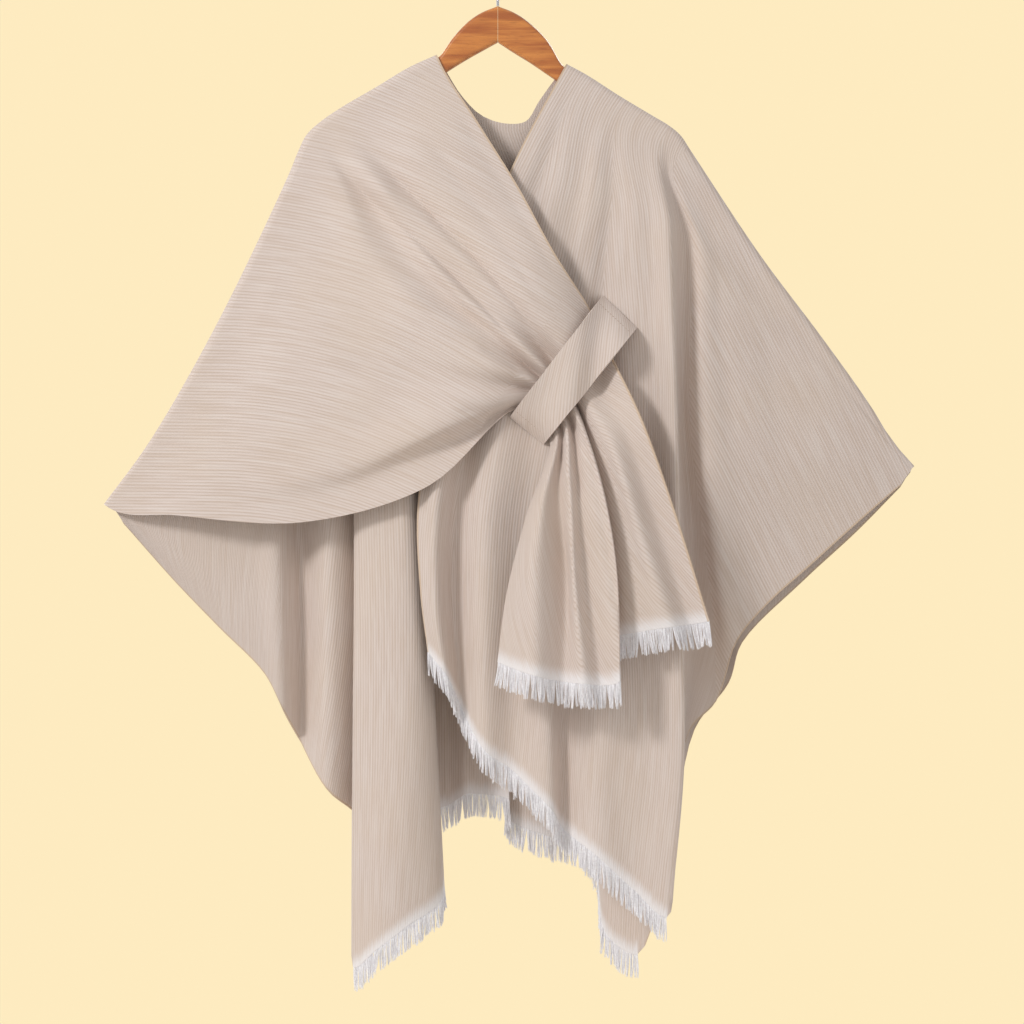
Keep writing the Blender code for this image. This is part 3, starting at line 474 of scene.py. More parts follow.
LEFT_CREASES = [Crease(*row) for row in (
    (8, 2.5, ((150, 180), (152, 300), (150, 430))),
    (7, -2.0, ((120, 150), (108, 240), (90, 330))),
    (8, 2.5, ((180, 220), (186, 360), (186, 520))),
    (9, 3.0, ((46, 840), (32, 874), (15, 930))),
    (10, 2.0, ((150, 800), (146, 900), (140, 1000))),
    (9, 2.0, ((190, 760), (188, 880), (178, 1010))),
    (8, 2.0, ((260, 300), (268, 420), (284, 560))),
    (12, 2.0, ((320, 380), (330, 470), (346, 560))),
    (7, 2.5, ((-84, 520), (-84, 620), (-78, 740))))]
BACK_CREASES = [Crease(*row) for row in (
    (10, -3.0, ((-120, 200), (-118, 420), (-112, 700))),
    (9, 2.5, ((-40, 220), (-30, 460), (-24, 760))),
    (10, -2.5, ((60, 220), (70, 480), (80, 800))),
    (12, 2.5, ((130, 240), (150, 480), (155, 900))),
    (9, 2.5, ((-230, 300), (-222, 480), (-220, 700))),
    (12, -2.5, ((-300, 430), (-310, 540), (-305, 660))),
    (12, 2.5, ((300, 400), (312, 500), (318, 620))),
    (8, 2.0, ((0, 240), (4, 430), (6, 640))))]
CREASE_FADE = 0.22
CREASE_STEPS = 6
VALLEY_SHARPNESS = 1.3
RIDGE_SHARPNESS = 2.0
EASE_ROWS = 12
UNEVEN_WIDTH = 75.0
UNEVEN_LENGTH = 120.0
UNEVEN_DEPTH = 1.1


def crease_depth(across, drop, crease):
    """How far a crease presses the cloth back at each point, fading towards its ends."""
    points = smooth_through(crease.route, [CREASE_STEPS] * (len(crease.route) - 1))
    best = np.full(across.shape, 1e9)
    along = np.zeros(across.shape)
    for index, (start, end) in enumerate(zip(points, points[1:])):
        way = end - start
        share = ((across - start[0]) * way[0] + (drop - start[1]) * way[1]) / (way @ way)
        share = np.clip(share, 0, 1)
        distance = np.hypot(across - start[0] - share * way[0], drop - start[1] - share * way[1])
        closer = distance < best
        best = np.where(closer, distance, best)
        along = np.where(closer, (index + share) / (len(points) - 1), along)
    fade = np.clip(np.minimum(along, 1 - along) / CREASE_FADE, 0, 1)
    sharpness = VALLEY_SHARPNESS if crease.depth > 0 else RIDGE_SHARPNESS
    profile = np.exp(-(best / crease.width) ** sharpness)
    return crease.depth * profile * fade * fade * (3 - 2 * fade)


def press(grid, creases, seed):
    """The panel with its creases and a slight unevenness, left alone along the shoulder fold."""
    across = grid[:, :, 0]
    drop = grid[:, :, 2]
    total = sum(crease_depth(across, drop, crease) for crease in creases)
    for spot in np.ndindex(across.shape):
        place = Vector((across[spot] / UNEVEN_WIDTH, drop[spot] / UNEVEN_LENGTH, seed))
        total[spot] += noise.noise(place) * UNEVEN_DEPTH
    ease = np.clip((np.arange(len(grid)) - ROLL_CELLS) / EASE_ROWS, 0, 1)
    pressed = grid.copy()
    pressed[:, :, 1] += total * ease[:, None]
    return pressed


# Weave and edge maps

# The row of the right front that lies under the band, where its weave map changes
BAND_ROW = ROLL_CELLS + sum(RIGHT_DOWN[:3]) + RIGHT_DOWN[3] // 2
RIB_SLOPES = ((-600, 0.0), (-330, 0.02), (-180, 0.30), (-60, 0.55), (60, 0.62), (200, 0.62))
FRONT_STRETCH = 0.9
# The fold line at which the left wing's own ribs begin
WING_LINE = 12
WING_LEAN = -27.0
BAND_LEAN = -59.0
FAR = 400.0


def leaning(across, along, lean):
    """The place across the ribs and along them, for ribs that lean by so many degrees."""
    turn = math.radians(lean)
    return np.stack([across * math.cos(turn) + along * math.sin(turn),
                     along * math.cos(turn) - across * math.sin(turn)], axis=-1)


def front_ribs(grid):
    """Ribs of the pulled right front: level at the far side and sloping down towards the slit."""
    slopes = np.array(RIB_SLOPES)
    ticks = np.arange(slopes[0, 0], slopes[-1, 0] + 1.0)
    drops = np.concatenate([[0.0], np.cumsum(np.interp(ticks[1:], slopes[:, 0], slopes[:, 1]))])
    across = grid[:, :, 0]
    fall = np.interp(across, ticks, drops)
    return spread_over_cells(np.stack([(grid[:, :, 2] - fall) * FRONT_STRETCH, across], axis=2))


def wing_ribs(grid):
    """Straight ribs of the left wing, which hangs flat."""
    return spread_over_cells(leaning(grid[:, :, 0], grid[:, :, 2], WING_LEAN))


def spread_over_cells(places):
    """The same weave map for both sides of every column of cells."""
    return np.stack([places[:, :-1], places[:, 1:]]).transpose(2, 0, 1, 3)


def chart_ribs(grid, charts, step):
    """For each column of cells, the place across the ribs and along them at its two sides."""
    down = lengths_along(grid)
    across = lengths_along(grid, 1)
    ribs = np.zeros((grid.shape[1] - 1, 2, len(grid), 2))
    for chart in charts:
        guide = across[:, chart.guide * step]
        for c in range(chart.first * step, chart.last * step):
            for side in (0, 1):
                ribs[c, side] = leaning(across[:, c + side] - guide, down[:, c + side], chart.lean)
    return ribs


def edge_distances(grid, first, last, slit):
    """Distance of each point to the hem, which runs from column first to last, and to a selvedge."""
    down = lengths_along(grid)
    to_hem = down[-1] - down
    columns = np.arange(grid.shape[1])
    beyond = (columns < first) | (columns > last)
    to_side = np.minimum(np.where(beyond, to_hem, FAR), FAR)
    if slit:
        to_side = np.minimum(to_side, lengths_along(grid, 1))
    return np.stack([to_hem + FAR * beyond, to_side], axis=2)


# Meshes

SHARP_ANGLE = 60


def put_in_scene(name, data):
    piece = bpy.data.objects.new(name, data)
    bpy.context.scene.collection.objects.link(piece)
    return piece


def add_piece(name, mesh, finish):
    mesh.materials.append(finish)
    mesh.shade_smooth()
    mesh.set_sharp_from_angle(angle=math.radians(SHARP_ANGLE))
    return put_in_scene(name, mesh)


def build_cloth(name, outer, inner, maps, edges, finish):
    """A closed wall of cloth. Its first weave map is for the rows above the band, the second below."""
    rows, columns = outer.shape[:2]
    faces = []
    weave = []
    distances = []

    def face(cell, level, *corners):
        faces.append([(skin * rows + r) * columns + c for skin, r, c in corners])
        weave.extend(maps[level][cell, c - cell, r] for _, r, c in corners)
        distances.extend(edges[r, c] for _, r, c in corners)

    side = columns - 1
    for r in range(rows - 1):
        level = 0 if r < BAND_ROW else 1
        for c in range(side):
            face(c, level, (0, r, c), (0, r + 1, c), (0, r + 1, c + 1), (0, r, c + 1))
            face(c, level, (1, r, c), (1, r, c + 1), (1, r + 1, c + 1), (1, r + 1, c))
        face(0, level, (0, r, 0), (1, r, 0), (1, r + 1, 0), (0, r + 1, 0))
        face(side - 1, level, (0, r + 1, side), (1, r + 1, side), (1, r, side), (0, r, side))
    end = rows - 1
    for c in range(side):
        face(c, 0, (0, 0, c), (0, 0, c + 1), (1, 0, c + 1), (1, 0, c))
        face(c, 1, (1, end, c), (1, end, c + 1), (0, end, c + 1), (0, end, c))

    mesh = bpy.data.meshes.new(name)
    mesh.from_pydata([to_world(point) for point in (*outer.reshape(-1, 3), *inner.reshape(-1, 3))], [], faces)
    for layer, values in (("weave", weave), ("edges", distances)):
        uv = mesh.uv_layers.new(name=layer)
        uv.data.foreach_set("uv", (np.array(values) * MM).astype(np.float32).ravel())
    mesh.validate()
    return add_piece(name, mesh, finish)


def tube_faces(base, levels, sides):
    """Faces between rings of points, the first of which starts at point base."""
    faces = []
    for level in range(levels - 1):
        low = base + level * sides
        for side in range(sides):
            after = (side + 1) % sides
            faces.append((low + side, low + after, low + sides + after, low + sides + side))
    return faces


def build_tube(name, rings, finish):
    """A solid through rings of points, with a face across each end."""
    sides = len(rings[0])
    points = [point for ring in rings for point in ring]
    ends = [range(sides), range(len(points) - sides, len(points))]
    data = bpy.data.meshes.new(name)
    data.from_pydata(points, [], tube_faces(0, len(rings), sides) + ends)
    mesh = bmesh.new()
    mesh.from_mesh(data)
    bmesh.ops.recalc_face_normals(mesh, faces=mesh.faces)
    mesh.to_mesh(data)
    mesh.free()
    return add_piece(name, data, finish)


# Fringe threads

THREAD_PITCH = 0.42
THREAD_RADIUS = 0.42
THREAD_LENGTH = 31.0
THREAD_ROOT = 1.5
THREAD_STOPS = (0.0, 0.25, 0.5, 0.75, 1.0)
THREAD_SIDES = 3
THREAD_PLACES = (0.2, 0.8)
THREAD_SHARES = (0.93, 1.0)
THREAD_DRIFT = 0.5
THREAD_BOW = 0.45
TIP_SHARE = 0.5
DRIFT_CURVE = 1.6
ROOT_SPREAD = 0.3
CLUMP_THREADS = (5, 12)
CLUMP_PULLS = (0.15, 0.75)
CLUMP_LEAN = 1.6
CLUMP_SHARES = (0.88, 1.0)


def sideways(draw, spread):
    return np.array([draw.gauss(0, spread), draw.gauss(0, spread), 0.0])


def build_threads(name, outer, inner, first, last, finish):
    """The warp ends below a hem, gathered in loose clumps."""
    draw = random.Random(name)
    middle = (outer[-1] + inner[-1]) / 2
    hang = unit(unit(middle - (outer[-2] + inner[-2]) / 2) + np.array([0.0, 0.0, 1.0]))
    thick = outer[-1] - inner[-1]
    lengths = lengths_along(middle[first:last + 1])
    points = []
    faces = []
    clump_left = 0
    for index in range(int(lengths[-1] / THREAD_PITCH)):
        place = (index + draw.uniform(*THREAD_PLACES)) * THREAD_PITCH
        column = np.interp(place, lengths, np.arange(len(lengths)) + first)
        low = min(int(column), last - 1)
        if clump_left <= 0:
            clump_size = draw.randint(*CLUMP_THREADS)
            clump_left = clump_size
            clump_pull = draw.uniform(*CLUMP_PULLS)
            clump_lean = sideways(draw, CLUMP_LEAN)
            clump_share = draw.uniform(*CLUMP_SHARES)
        offset = (clump_left - clump_size / 2) * THREAD_PITCH
        clump_left -= 1
        way = between(hang[low], hang[low + 1], column - low)
        root = between(middle[low], middle[low + 1], column - low) - way * THREAD_ROOT
        root = root + thick[low] * draw.uniform(-ROOT_SPREAD, ROOT_SPREAD)
        length = THREAD_LENGTH * clump_share * draw.uniform(*THREAD_SHARES) + THREAD_ROOT
        along = unit(middle[low + 1] - middle[low])
        drift = clump_lean + along * offset * clump_pull + sideways(draw, THREAD_DRIFT)
        bow = sideways(draw, THREAD_BOW)
        faces += tube_faces(len(points), len(THREAD_STOPS), THREAD_SIDES)
        for stop in THREAD_STOPS:
            centre = root + way * length * stop + drift * stop ** DRIFT_CURVE + bow * math.sin(stop * math.pi)
            radius = THREAD_RADIUS * (1.0 if stop < 1 else TIP_SHARE)
            for side in range(THREAD_SIDES):
                turn = 2 * math.pi * side / THREAD_SIDES + index
                points.append(to_world(centre + np.array([math.cos(turn), math.sin(turn), 0.0]) * radius))
        faces.append(range(len(points) - 1, len(points) - 1 - THREAD_SIDES, -1))
    mesh = bpy.data.meshes.new(name)
    mesh.from_pydata(points, [], faces)
    return add_piece(name, mesh, finish)


# Loop band and its stitches

# Columns of the band beside its edges, and the share of the wall that they keep
BAND_EDGES = ((0, 0.1), (1, 0.6), (-2, 0.6), (-1, 0.1))
STITCH_LENGTH = 2.9
STITCH_PITCH = 4.4
STITCH_RADIUS = 0.55
STITCH_LIFT = 0.1
# Rows of the band's points that the stitches follow
STITCH_ROWS = (4, -5)


def build_band(grid, finish):
    outer, inner = wall_sides(grid, -1, BAND_WALL)
    for column, share in BAND_EDGES:
        middle = (outer[:, column] + inner[:, column]) / 2
        for side in (outer, inner):
            side[:, column] = between(middle, side[:, column], share)
    ribs = chart_ribs(grid, [Chart(0, grid.shape[1] - 1, 0, BAND_LEAN)], 1)
    edges = np.full((*grid.shape[:2], 2), FAR)
    return build_cloth("band_cloth_loop", outer, inner, (ribs, ribs), edges, finish)


def build_stitches(grid, finish):
    """Short thread stitches across both sewn ends of the band."""
    mesh = bmesh.new()
    for row in STITCH_ROWS:
        line = grid[row] - np.array([0.0, BAND_WALL / 2 + STITCH_LIFT, 0.0])
        lengths = lengths_along(line)
        for place in np.arange(STITCH_PITCH, lengths[-1] - STITCH_PITCH, STITCH_PITCH):
            start, end = [Vector(to_world([np.interp(at, lengths, line[:, k]) for k in range(3)]))
                          for at in (place - STITCH_LENGTH / 2, place + STITCH_LENGTH / 2)]
            way = end - start
            turn = way.to_track_quat("Z", "Y").to_matrix().to_4x4()
            turn.translation = (start + end) / 2
            size = Matrix.Diagonal((STITCH_RADIUS * MM, STITCH_RADIUS * MM, way.length / 2, 1.0))
            bmesh.ops.create_uvsphere(mesh, u_segments=8, v_segments=6, radius=1.0, matrix=turn @ size)
    data = bpy.data.meshes.new("band_stitches")
    mesh.to_mesh(data)
    mesh.free()
    return add_piece("band_stitches", data, finish)


# Hanger

Section = namedtuple("Section", "across top bottom")
HANGER_RIGHT_NECK = [Section(*row) for row in (
    (-0.15, 0, 44), (-20, 8, 55), (-36, 19, 64), (-54, 38, 75), (-71, 61, 86))]
HANGER_LEFT_NECK = [Section(*row) for row in (
    (0.15, 0, 44), (20, 8, 57), (38, 20, 68), (60, 42, 83), (79, 72, 96))]
ARM_STOPS = (0.04, 0.25, 0.5, 0.75, 0.9)
ARM_END_TURNS = (12, 25, 38, 50, 60, 70, 78, 84, 87)
# The seat of the shoulder fold above the end of an arm
ARM_ENDS_AT = 5
SECTION_CELLS = 6
SECTION_TURNS = (0, 18, 36, 54, 72, 90)
HOOK_CELLS = 5
HOOK_SIDES = 20
HOOK_END_TURNS = (30, 55, 75)


def arm_sections(neck, path, end):
    """Upright sections from the joint out to the rounded end, below the shoulder fold."""
    sign = 1 if neck[-1].across > 0 else -1
    start = abs(path.points[0, 0])
    sections = list(neck)
    sink = WALL / 2 + GAP
    for share in ARM_STOPS:
        across = sign * between(start, end - ARM_END_LENGTH, share)
        slope = (path.drop_at(across + sign) - path.drop_at(across - sign)) / 2
        top = path.drop_at(across) + sink * math.hypot(1, slope)
        sections.append(Section(across, top, top + ARM_HEIGHT))
    fine = [Section(*row) for row in smooth_through(sections, [SECTION_CELLS] * (len(sections) - 1))]
    last = fine[-1]
    slope = (last.top - fine[-2].top) / (abs(last.across) - abs(fine[-2].across))
    for turn in np.radians(ARM_END_TURNS):
        reach = math.sin(turn) * (end - abs(last.across))
        half = math.cos(turn) * ARM_HEIGHT / 2
        centre = (last.top + last.bottom) / 2 + slope * reach
        fine.append(Section(last.across + sign * reach, centre - half, centre + half))
    return fine


def section_ring(section):
    """Points round an upright section with half-round top and bottom."""
    height = section.bottom - section.top
    cap = min(ARM_HALF * SECTION_ROUNDNESS, height / 2)
    half = ARM_HALF * min(1.0, (height / ARM_HEIGHT) ** 0.5)
    turns = np.radians(SECTION_TURNS)
    ring = [(half * math.sin(turn), section.top + cap * (1 - math.cos(turn))) for turn in turns]
    ring += [(half * math.sin(turn), section.bottom - cap * (1 - math.cos(turn)))
             for turn in turns[::-1]]
    ring += [(-depth, drop) for depth, drop in ring[-2:0:-1]]
    return [to_world((section.across, depth, drop)) for depth, drop in ring]


def build_arm(name, neck, path, end, finish):
    return build_tube(name, [section_ring(section) for section in arm_sections(neck, path, end)], finish)


def hook_route():
    """The wire's middle line: up from the wood, round the hang point and down to a free end."""
    radius = HOOK_INSIDE + WIRE / 2
    route = [(across, GAP - WOOD_DROP + rise) for across, rise in HOOK_STEM]
    for turn in np.radians(HOOK_TURNS):
        route.append((radius * math.cos(turn), -HOOK_INSIDE + radius * math.sin(turn)))
    return route


def build_hook(finish):
    knots = hook_route()
    line = smooth_through(knots, [HOOK_CELLS] * (len(knots) - 1))
    ways = unit(np.gradient(line, axis=0))
    squares = np.stack([-ways[:, 1], ways[:, 0]], axis=1)
    stops = [(centre, square, WIRE / 2) for centre, square in zip(line, squares)]
    for turn in np.radians(HOOK_END_TURNS):
        centre = line[-1] + ways[-1] * math.sin(turn) * WIRE / 2
        stops.append((centre, squares[-1], math.cos(turn) * WIRE / 2))
    rings = []
    for centre, square, size in stops:
        ring = []
        for side in range(HOOK_SIDES):
            turn = 2 * math.pi * side / HOOK_SIDES
            across, rise = centre + square * math.cos(turn) * size
            ring.append((across * MM, math.sin(turn) * size * MM, rise * MM))
        rings.append(ring)
    return build_tube("hook_wire", rings, finish)


# Materials

def rgb(red, green, blue):
    """A linear colour from the 0 to 255 display values."""
    values = []
    for value in (red, green, blue):
        share = value / 255
        values.append(share / 12.92 if share <= 0.04045 else ((share + 0.055) / 1.055) ** 2.4)
    return (*values, 1.0)


# Painted shade in the twill's rib grooves and painted light on its rib tops
GROOVE_PAINTED_SHADE = rgb(205, 188, 176)
RIB_TOP_PAINTED_LIGHT = rgb(220, 206, 199)
STREAK_LIGHT = rgb(226, 216, 209)
STREAK_DARK = rgb(202, 184, 168)
CLOUD = rgb(216, 198, 180)
FADED = rgb(244, 243, 246)
SELVEDGE_TAN = rgb(208, 182, 152)
THREAD_DARK = rgb(240, 238, 242)
THREAD_LIGHT = rgb(252, 252, 255)
STITCH_DARK = rgb(148, 118, 92)
STITCH_LIGHT = rgb(186, 160, 134)
WOOD_DARK = rgb(176, 96, 38)
WOOD_LIGHT = rgb(218, 138, 62)
WOOD_PORE = rgb(112, 54, 20)
PLATED = rgb(205, 205, 208)
FLOOR_TONE = (0.86, 0.82, 0.76, 1.0)
BACKDROP_TONE = rgb(253, 234, 191)
BLACK = (0.0, 0.0, 0.0, 1.0)

# Weave sizes in metres
RIB_PITCH = 3.4 * MM
YARN_PITCH = 1.5 * MM
RIB_WANDER = 1.6 * MM
FADE_START = 1.0 * MM
FADE_LENGTH = 20.0 * MM
FADE_RAGGED = 20.0 * MM
SELVEDGE = 3.0 * MM
SELVEDGE_CORE = 1.8 * MM


class Nodes:
    """Small helper that adds and links shader nodes of one material."""

    def __init__(self, name):
        self.material = bpy.data.materials.new(name)
        self.material.use_nodes = True
        self.tree = self.material.node_tree

    def link(self, source, target):
        if isinstance(source, (int, float, tuple)):
            target.default_value = source
        else:
            self.tree.links.new(source, target)

    def add(self, kind, *inputs, **settings):
        """A new node with its first inputs linked or set."""
        node = self.tree.nodes.new("ShaderNode" + kind)
        for setting, value in settings.items():
            setattr(node, setting, value)
        for source, target in zip(inputs, node.inputs):
            self.link(source, target)
        return node

    def uv(self, name):
        return self.add("UVMap", uv_map=name).outputs["UV"]

    def place(self):
        return self.add("TexCoord").outputs["Object"]

    def apart(self, vector):
        return self.add("SeparateXYZ", vector).outputs[:2]

    def stretch(self, vector, *factors):
        return self.add("VectorMath", vector, factors, operation="MULTIPLY").outputs[0]

    def math(self, operation, a, b=0.0):
        return self.add("Math", a, b, operation=operation).outputs[0]

    def wave(self, turn):
        """A sine between 0 and 1."""
        return self.math("ADD", self.math("MULTIPLY", self.math("SINE", turn), 0.5), 0.5)

    def around_zero(self, share, size):
        return self.math("MULTIPLY", self.math("SUBTRACT", share, 0.5), size)

    def noise(self, vector, scale, detail=2.0, rough=0.5):
        node = self.add("TexNoise")
        for source, name in ((vector, "Vector"), (scale, "Scale"), (detail, "Detail"), (rough, "Roughness")):
            self.link(source, node.inputs[name])
        return node.outputs["Fac"]

    def ramp(self, value, low, high, start=0.0, end=1.0):
        node = self.add("MapRange", value, low, high, start, end, interpolation_type="SMOOTHSTEP")
        return node.outputs["Result"]

    def mix(self, share, first, second):
        node = self.add("Mix", share, data_type="RGBA")
        self.link(first, node.inputs[6])
        self.link(second, node.inputs[7])
        return node.outputs[2]

    def bump(self, *layers):
        """Relief from layers of height, strength and distance, one over the other."""
        normal = None
        for height, strength, distance in layers:
            node = self.add("Bump")
            self.link(strength, node.inputs["Strength"])
            self.link(distance * MM, node.inputs["Distance"])
            self.link(height, node.inputs["Height"])
            if normal is not None:
                self.link(normal, node.inputs["Normal"])
            normal = node.outputs["Normal"]
        return normal

    def finish(self, colour, roughness, **others):
        """The material, with its shader's inputs linked or set."""
        inputs = self.tree.nodes["Principled BSDF"].inputs
        self.link(colour, inputs["Base Color"])
        self.link(roughness, inputs["Roughness"])
        for name, source in others.items():
            self.link(source, inputs[name.replace("_", " ")])
        return self.material


def woven_material(name, edges):
    """Ribbed beige twill. Ribs and yarns follow the weave map, with painted shade in the rib grooves and
    painted light on the rib tops, and the hem fades to the fringe's white.
    """
    nodes = Nodes(name)
    weave = nodes.uv("weave")
    across, along = nodes.apart(weave)
    wander = nodes.noise(nodes.stretch(weave, 1.0, 0.35, 1.0), 26.0)
    ribs_at = nodes.math("ADD", across, nodes.around_zero(wander, RIB_WANDER))
    rib_turn = nodes.math("MULTIPLY", ribs_at, 2 * math.pi / RIB_PITCH)
    yarn_turn = nodes.math("ADD", nodes.math("MULTIPLY", along, 2 * math.pi / YARN_PITCH), rib_turn)
    rib = nodes.wave(rib_turn)
    yarn = nodes.wave(yarn_turn)
    fuzz = nodes.noise(weave, 900.0, rough=0.6)
    streak = nodes.noise(nodes.stretch(weave, 1.0, 0.04, 1.0), 330.0, rough=0.6)
    cloud = nodes.noise(nodes.place(), 9.0)

    # Painted shade and light: the rib colour follows the relief wave, darker in the grooves and lighter on
    # the rib tops
    colour = nodes.mix(nodes.ramp(rib, 0.05, 0.6), GROOVE_PAINTED_SHADE, RIB_TOP_PAINTED_LIGHT)
    for share, low, high, most, tint in (
            (streak, 0.42, 0.72, 0.45, STREAK_LIGHT),
            (streak, 0.55, 0.25, 0.4, STREAK_DARK),
            (cloud, 0.35, 0.7, 0.22, CLOUD)):
        colour = nodes.mix(nodes.ramp(share, low, high, 0.0, most), colour, tint)
    if edges:
        to_hem, to_side = nodes.apart(nodes.uv("edges"))
        ragged = nodes.math("ADD", to_hem, nodes.around_zero(streak, FADE_RAGGED))
        colour = nodes.mix(nodes.ramp(ragged, FADE_START, FADE_LENGTH, 0.75, 0.0), colour, FADED)
        colour = nodes.mix(nodes.ramp(to_side, SELVEDGE_CORE, SELVEDGE, 0.7, 0.0), colour, SELVEDGE_TAN)
    relief = nodes.bump((rib, 0.5, 0.4), (yarn, 0.22, 0.3), (fuzz, 0.3, 0.3))
    return nodes.finish(colour, 0.92, Normal=relief, Specular_IOR_Level=0.25, Sheen_Weight=0.25,
                        Sheen_Roughness=0.5)


def thread_material():
    nodes = Nodes("fringe_yarn")
    tone = nodes.noise(nodes.place(), 420.0)
    colour = nodes.mix(nodes.ramp(tone, 0.3, 0.7), THREAD_DARK, THREAD_LIGHT)
    relief = nodes.bump((nodes.noise(nodes.place(), 2600.0, 1.0), 0.3, 0.2))
    return nodes.finish(colour, 0.8, Normal=relief, Sheen_Weight=0.3)


def stitch_material():
    nodes = Nodes("stitch_yarn")
    tone = nodes.noise(nodes.place(), 900.0)
    return nodes.finish(nodes.mix(tone, STITCH_DARK, STITCH_LIGHT), 0.7)


def wood_material():
    """Varnished beech: long grain, short pores and a clear coat."""
    nodes = Nodes("varnished_beech")
    grain = nodes.noise(nodes.stretch(nodes.place(), 5.0, 60.0, 60.0), 2.2, 3.0, 0.55)
    pores = nodes.noise(nodes.stretch(nodes.place(), 60.0, 900.0, 900.0), 1.0, rough=0.6)
    colour = nodes.mix(nodes.ramp(grain, 0.3, 0.7), WOOD_DARK, WOOD_LIGHT)
    colour = nodes.mix(nodes.ramp(pores, 0.55, 0.75, 0.0, 0.35), colour, WOOD_PORE)
    return nodes.finish(colour, nodes.ramp(grain, 0.2, 0.8, 0.28, 0.4), Normal=nodes.bump((pores, 0.15, 0.1)),
                        Coat_Weight=0.9, Coat_Roughness=0.06)


def steel_material():
    nodes = Nodes("plated_wire")
    smear = nodes.noise(nodes.place(), 180.0, 3.0)
    return nodes.finish(PLATED, nodes.ramp(smear, 0.3, 0.7, 0.12, 0.24), Metallic=1.0)


# The cape and its hanger

Panel = namedtuple("Panel", "name node outward creases charts step hem slit seed threads fringes")
LEFT_PANEL = Panel(
    "cape_front_left", "front_left", -1, LEFT_CREASES, LEFT_CHARTS, LEFT_ACROSS, (0, 9), True, 11.7,
    "threads_front_left", ("fringe_front_left_slit_part", "fringe_front_left_side_part"))
RIGHT_PANEL = Panel(
    "cape_front_right", "front_right", -1, RIGHT_CREASES, RIGHT_CHARTS, RIGHT_ACROSS, (0, 11), True, 23.4,
    "threads_front_right", ("fringe_front_right_slit_part", "fringe_front_right_side_part"))
BACK_PANEL = Panel(
    "cape_back", "back", 1, BACK_CREASES, BACK_CHARTS, BACK_ACROSS, (8, 24), False, 35.1,
    "threads_back", ("fringe_back",))


def declare(piece, slot, *nodes):
    """Puts a piece on the one body and hides the solids that it replaces; the finish slot is not used."""
    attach(piece, "root")
    if nodes:
        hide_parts(*nodes)
    return piece


def hang_panel(panel, grid, facing):
    """A panel of cloth, and the place of its hem: both sides of the wall, first and last column."""
    grid = press(grid, panel.creases, panel.seed)
    outer, inner = wall_sides(grid, panel.outward, WALL, facing)
    ribs = chart_ribs(grid, panel.charts, panel.step)
    above = front_ribs(grid) if panel is RIGHT_PANEL else ribs
    if panel is LEFT_PANEL:
        wing = WING_LINE * panel.step
        ribs[wing:] = wing_ribs(grid)[wing:]
    first, last = [line * panel.step for line in panel.hem]
    edges = edge_distances(grid, first, last, panel.slit)
    cloth = build_cloth(panel.name, outer, inner, (above, ribs), edges, cloth_finish)
    return declare(cloth, "woven_cloth", panel.node), (outer, inner, first, last)


def hang_threads(panel, hem):
    threads = build_threads(panel.threads, *hem, thread_finish)
    return declare(threads, "fringe_threads", *panel.fringes)


cloth_finish = woven_material("woven_beige_twill", True)
thread_finish = thread_material()
left_grid, left_facing = hanging_points(LEFT_FOLDS, top_of_left, LEFT_DOWN, LEFT_ACROSS)
right_grid, right_facing = gathered_points(left_grid)
back_grid, back_facing = hanging_points(BACK_FOLDS, top_of_back, BACK_DOWN, BACK_ACROSS)
front_left, left_hem = hang_panel(LEFT_PANEL, left_grid, left_facing)
front_right, right_hem = hang_panel(RIGHT_PANEL, right_grid, right_facing)
back, back_hem = hang_panel(BACK_PANEL, back_grid, back_facing)
threads_right = hang_threads(RIGHT_PANEL, right_hem)
threads_left = hang_threads(LEFT_PANEL, left_hem)
threads_back = hang_threads(BACK_PANEL, back_hem)

band_grid = band_points(left_grid)
band_finish = woven_material("band_beige_twill", False)
band = declare(build_band(band_grid.transpose(1, 0, 2), band_finish), "band_cloth", "loop_band")
seams = declare(build_stitches(band_grid, stitch_material()), "band_cloth")

wood_finish = wood_material()
for name, neck, path, folds, node in (
        ("wood_arm_right", HANGER_RIGHT_NECK, FOLD_PATH_RIGHT, FOLD_RIGHT, "hanger_right"),
        ("wood_arm_left", HANGER_LEFT_NECK, FOLD_PATH_LEFT, FOLD_LEFT, "hanger_left")):
    arm = build_arm(name, neck, path, abs(folds[ARM_ENDS_AT].across), wood_finish)
    declare(arm, "varnished_wood", node)
declare(build_hook(steel_material()), "hook_steel", "hanger_hook")
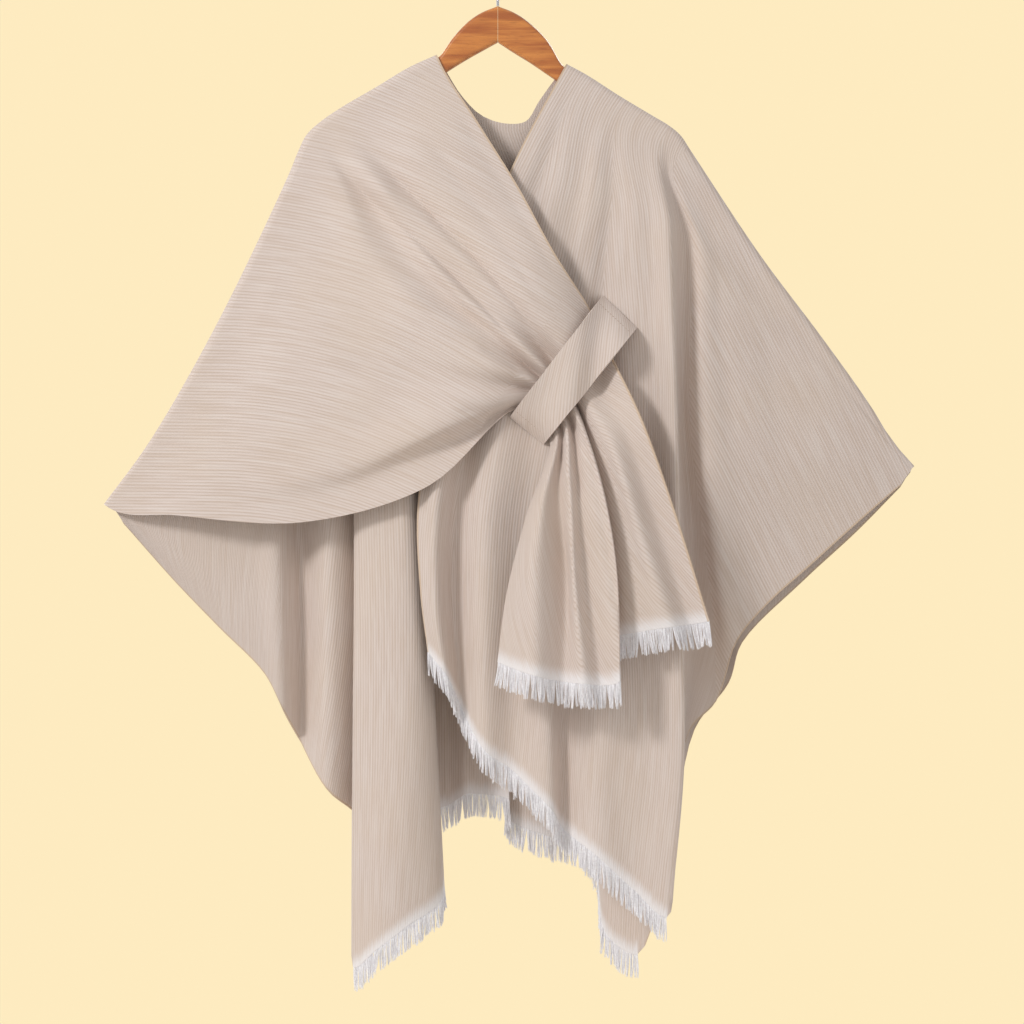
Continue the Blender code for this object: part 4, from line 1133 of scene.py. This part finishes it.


# Camera, lights and stage

# The photo's frame, in the hanger's plane
PHOTO_SPAN = 1024 * 1.2
SENSOR_WIDTH = 36.0
LAMP_AIM = Vector((0.02, 0.0, -0.62))
WORLD_TONE = (1.0, 0.97, 0.935, 1.0)
WORLD_STRENGTH = 0.56
FLOOR_RADIUS = 1.45
FLOOR_HEIGHT = -1.52
FLOOR_CORNERS = 96
BACKDROP = ((-2.6, -3.6), (2.6, -3.6), (2.6, 2.4), (-2.6, 2.4))
BACKDROP_DISTANCE = 7.0
Lamp = namedtuple("Lamp", "name power size colour place")
LAMPS = (
    Lamp("key", 57, 0.7, (1.0, 0.99, 0.985), (-2.2, -2.1, 1.0)),
    Lamp("fill", 4, 2.2, (0.95, 0.97, 1.0), (2.4, -2.2, -0.4)),
    Lamp("rim", 20, 1.4, (1.0, 0.985, 0.97), (1.6, 2.4, 1.0)),
    Lamp("back_fill", 18, 2.2, (1.0, 0.985, 0.97), (-1.8, 2.6, 0.2)))


def flat_face(name, corners, finish):
    mesh = bpy.data.meshes.new(name)
    mesh.from_pydata(corners, [], [range(len(corners))])
    mesh.materials.append(finish)
    return put_in_scene(name, mesh)


camera_data = bpy.data.cameras.new("photo_camera")
camera_data.sensor_width = SENSOR_WIDTH
camera_data.lens = SENSOR_WIDTH * EYE_DISTANCE / PHOTO_SPAN
camera = put_in_scene("photo_camera", camera_data)
camera.location = (EYE_ACROSS * MM, -EYE_DISTANCE * MM, -(WOOD_DROP + EYE_DROP) * MM)
camera.rotation_euler = (math.pi / 2, 0, 0)
bpy.context.scene.camera = camera

for lamp in LAMPS:
    light = bpy.data.lights.new(lamp.name, "AREA")
    light.energy = lamp.power
    light.size = lamp.size
    light.color = lamp.colour
    holder = put_in_scene(lamp.name, light)
    holder.location = lamp.place
    holder.rotation_euler = (LAMP_AIM - Vector(lamp.place)).to_track_quat("-Z", "Y").to_euler()

world = bpy.data.worlds.new("studio")
world.use_nodes = True
world.node_tree.nodes["Background"].inputs["Color"].default_value = WORLD_TONE
world.node_tree.nodes["Background"].inputs["Strength"].default_value = WORLD_STRENGTH
bpy.context.scene.world = world
bpy.context.scene.view_settings.view_transform = "Standard"

rim_turns = [2 * math.pi * k / FLOOR_CORNERS for k in range(FLOOR_CORNERS)]
rim = [(FLOOR_RADIUS * math.cos(turn), FLOOR_RADIUS * math.sin(turn), FLOOR_HEIGHT) for turn in rim_turns]
floor = flat_face("floor", rim, Nodes("pale_floor").finish(FLOOR_TONE, 0.9))

paper = Nodes("cream_backdrop").finish(BLACK, 1.0, Emission_Color=BACKDROP_TONE, Emission_Strength=1.0)
backdrop = flat_face("backdrop", [(x, BACKDROP_DISTANCE, z) for x, z in BACKDROP], paper)

bpy.context.view_layer.update()
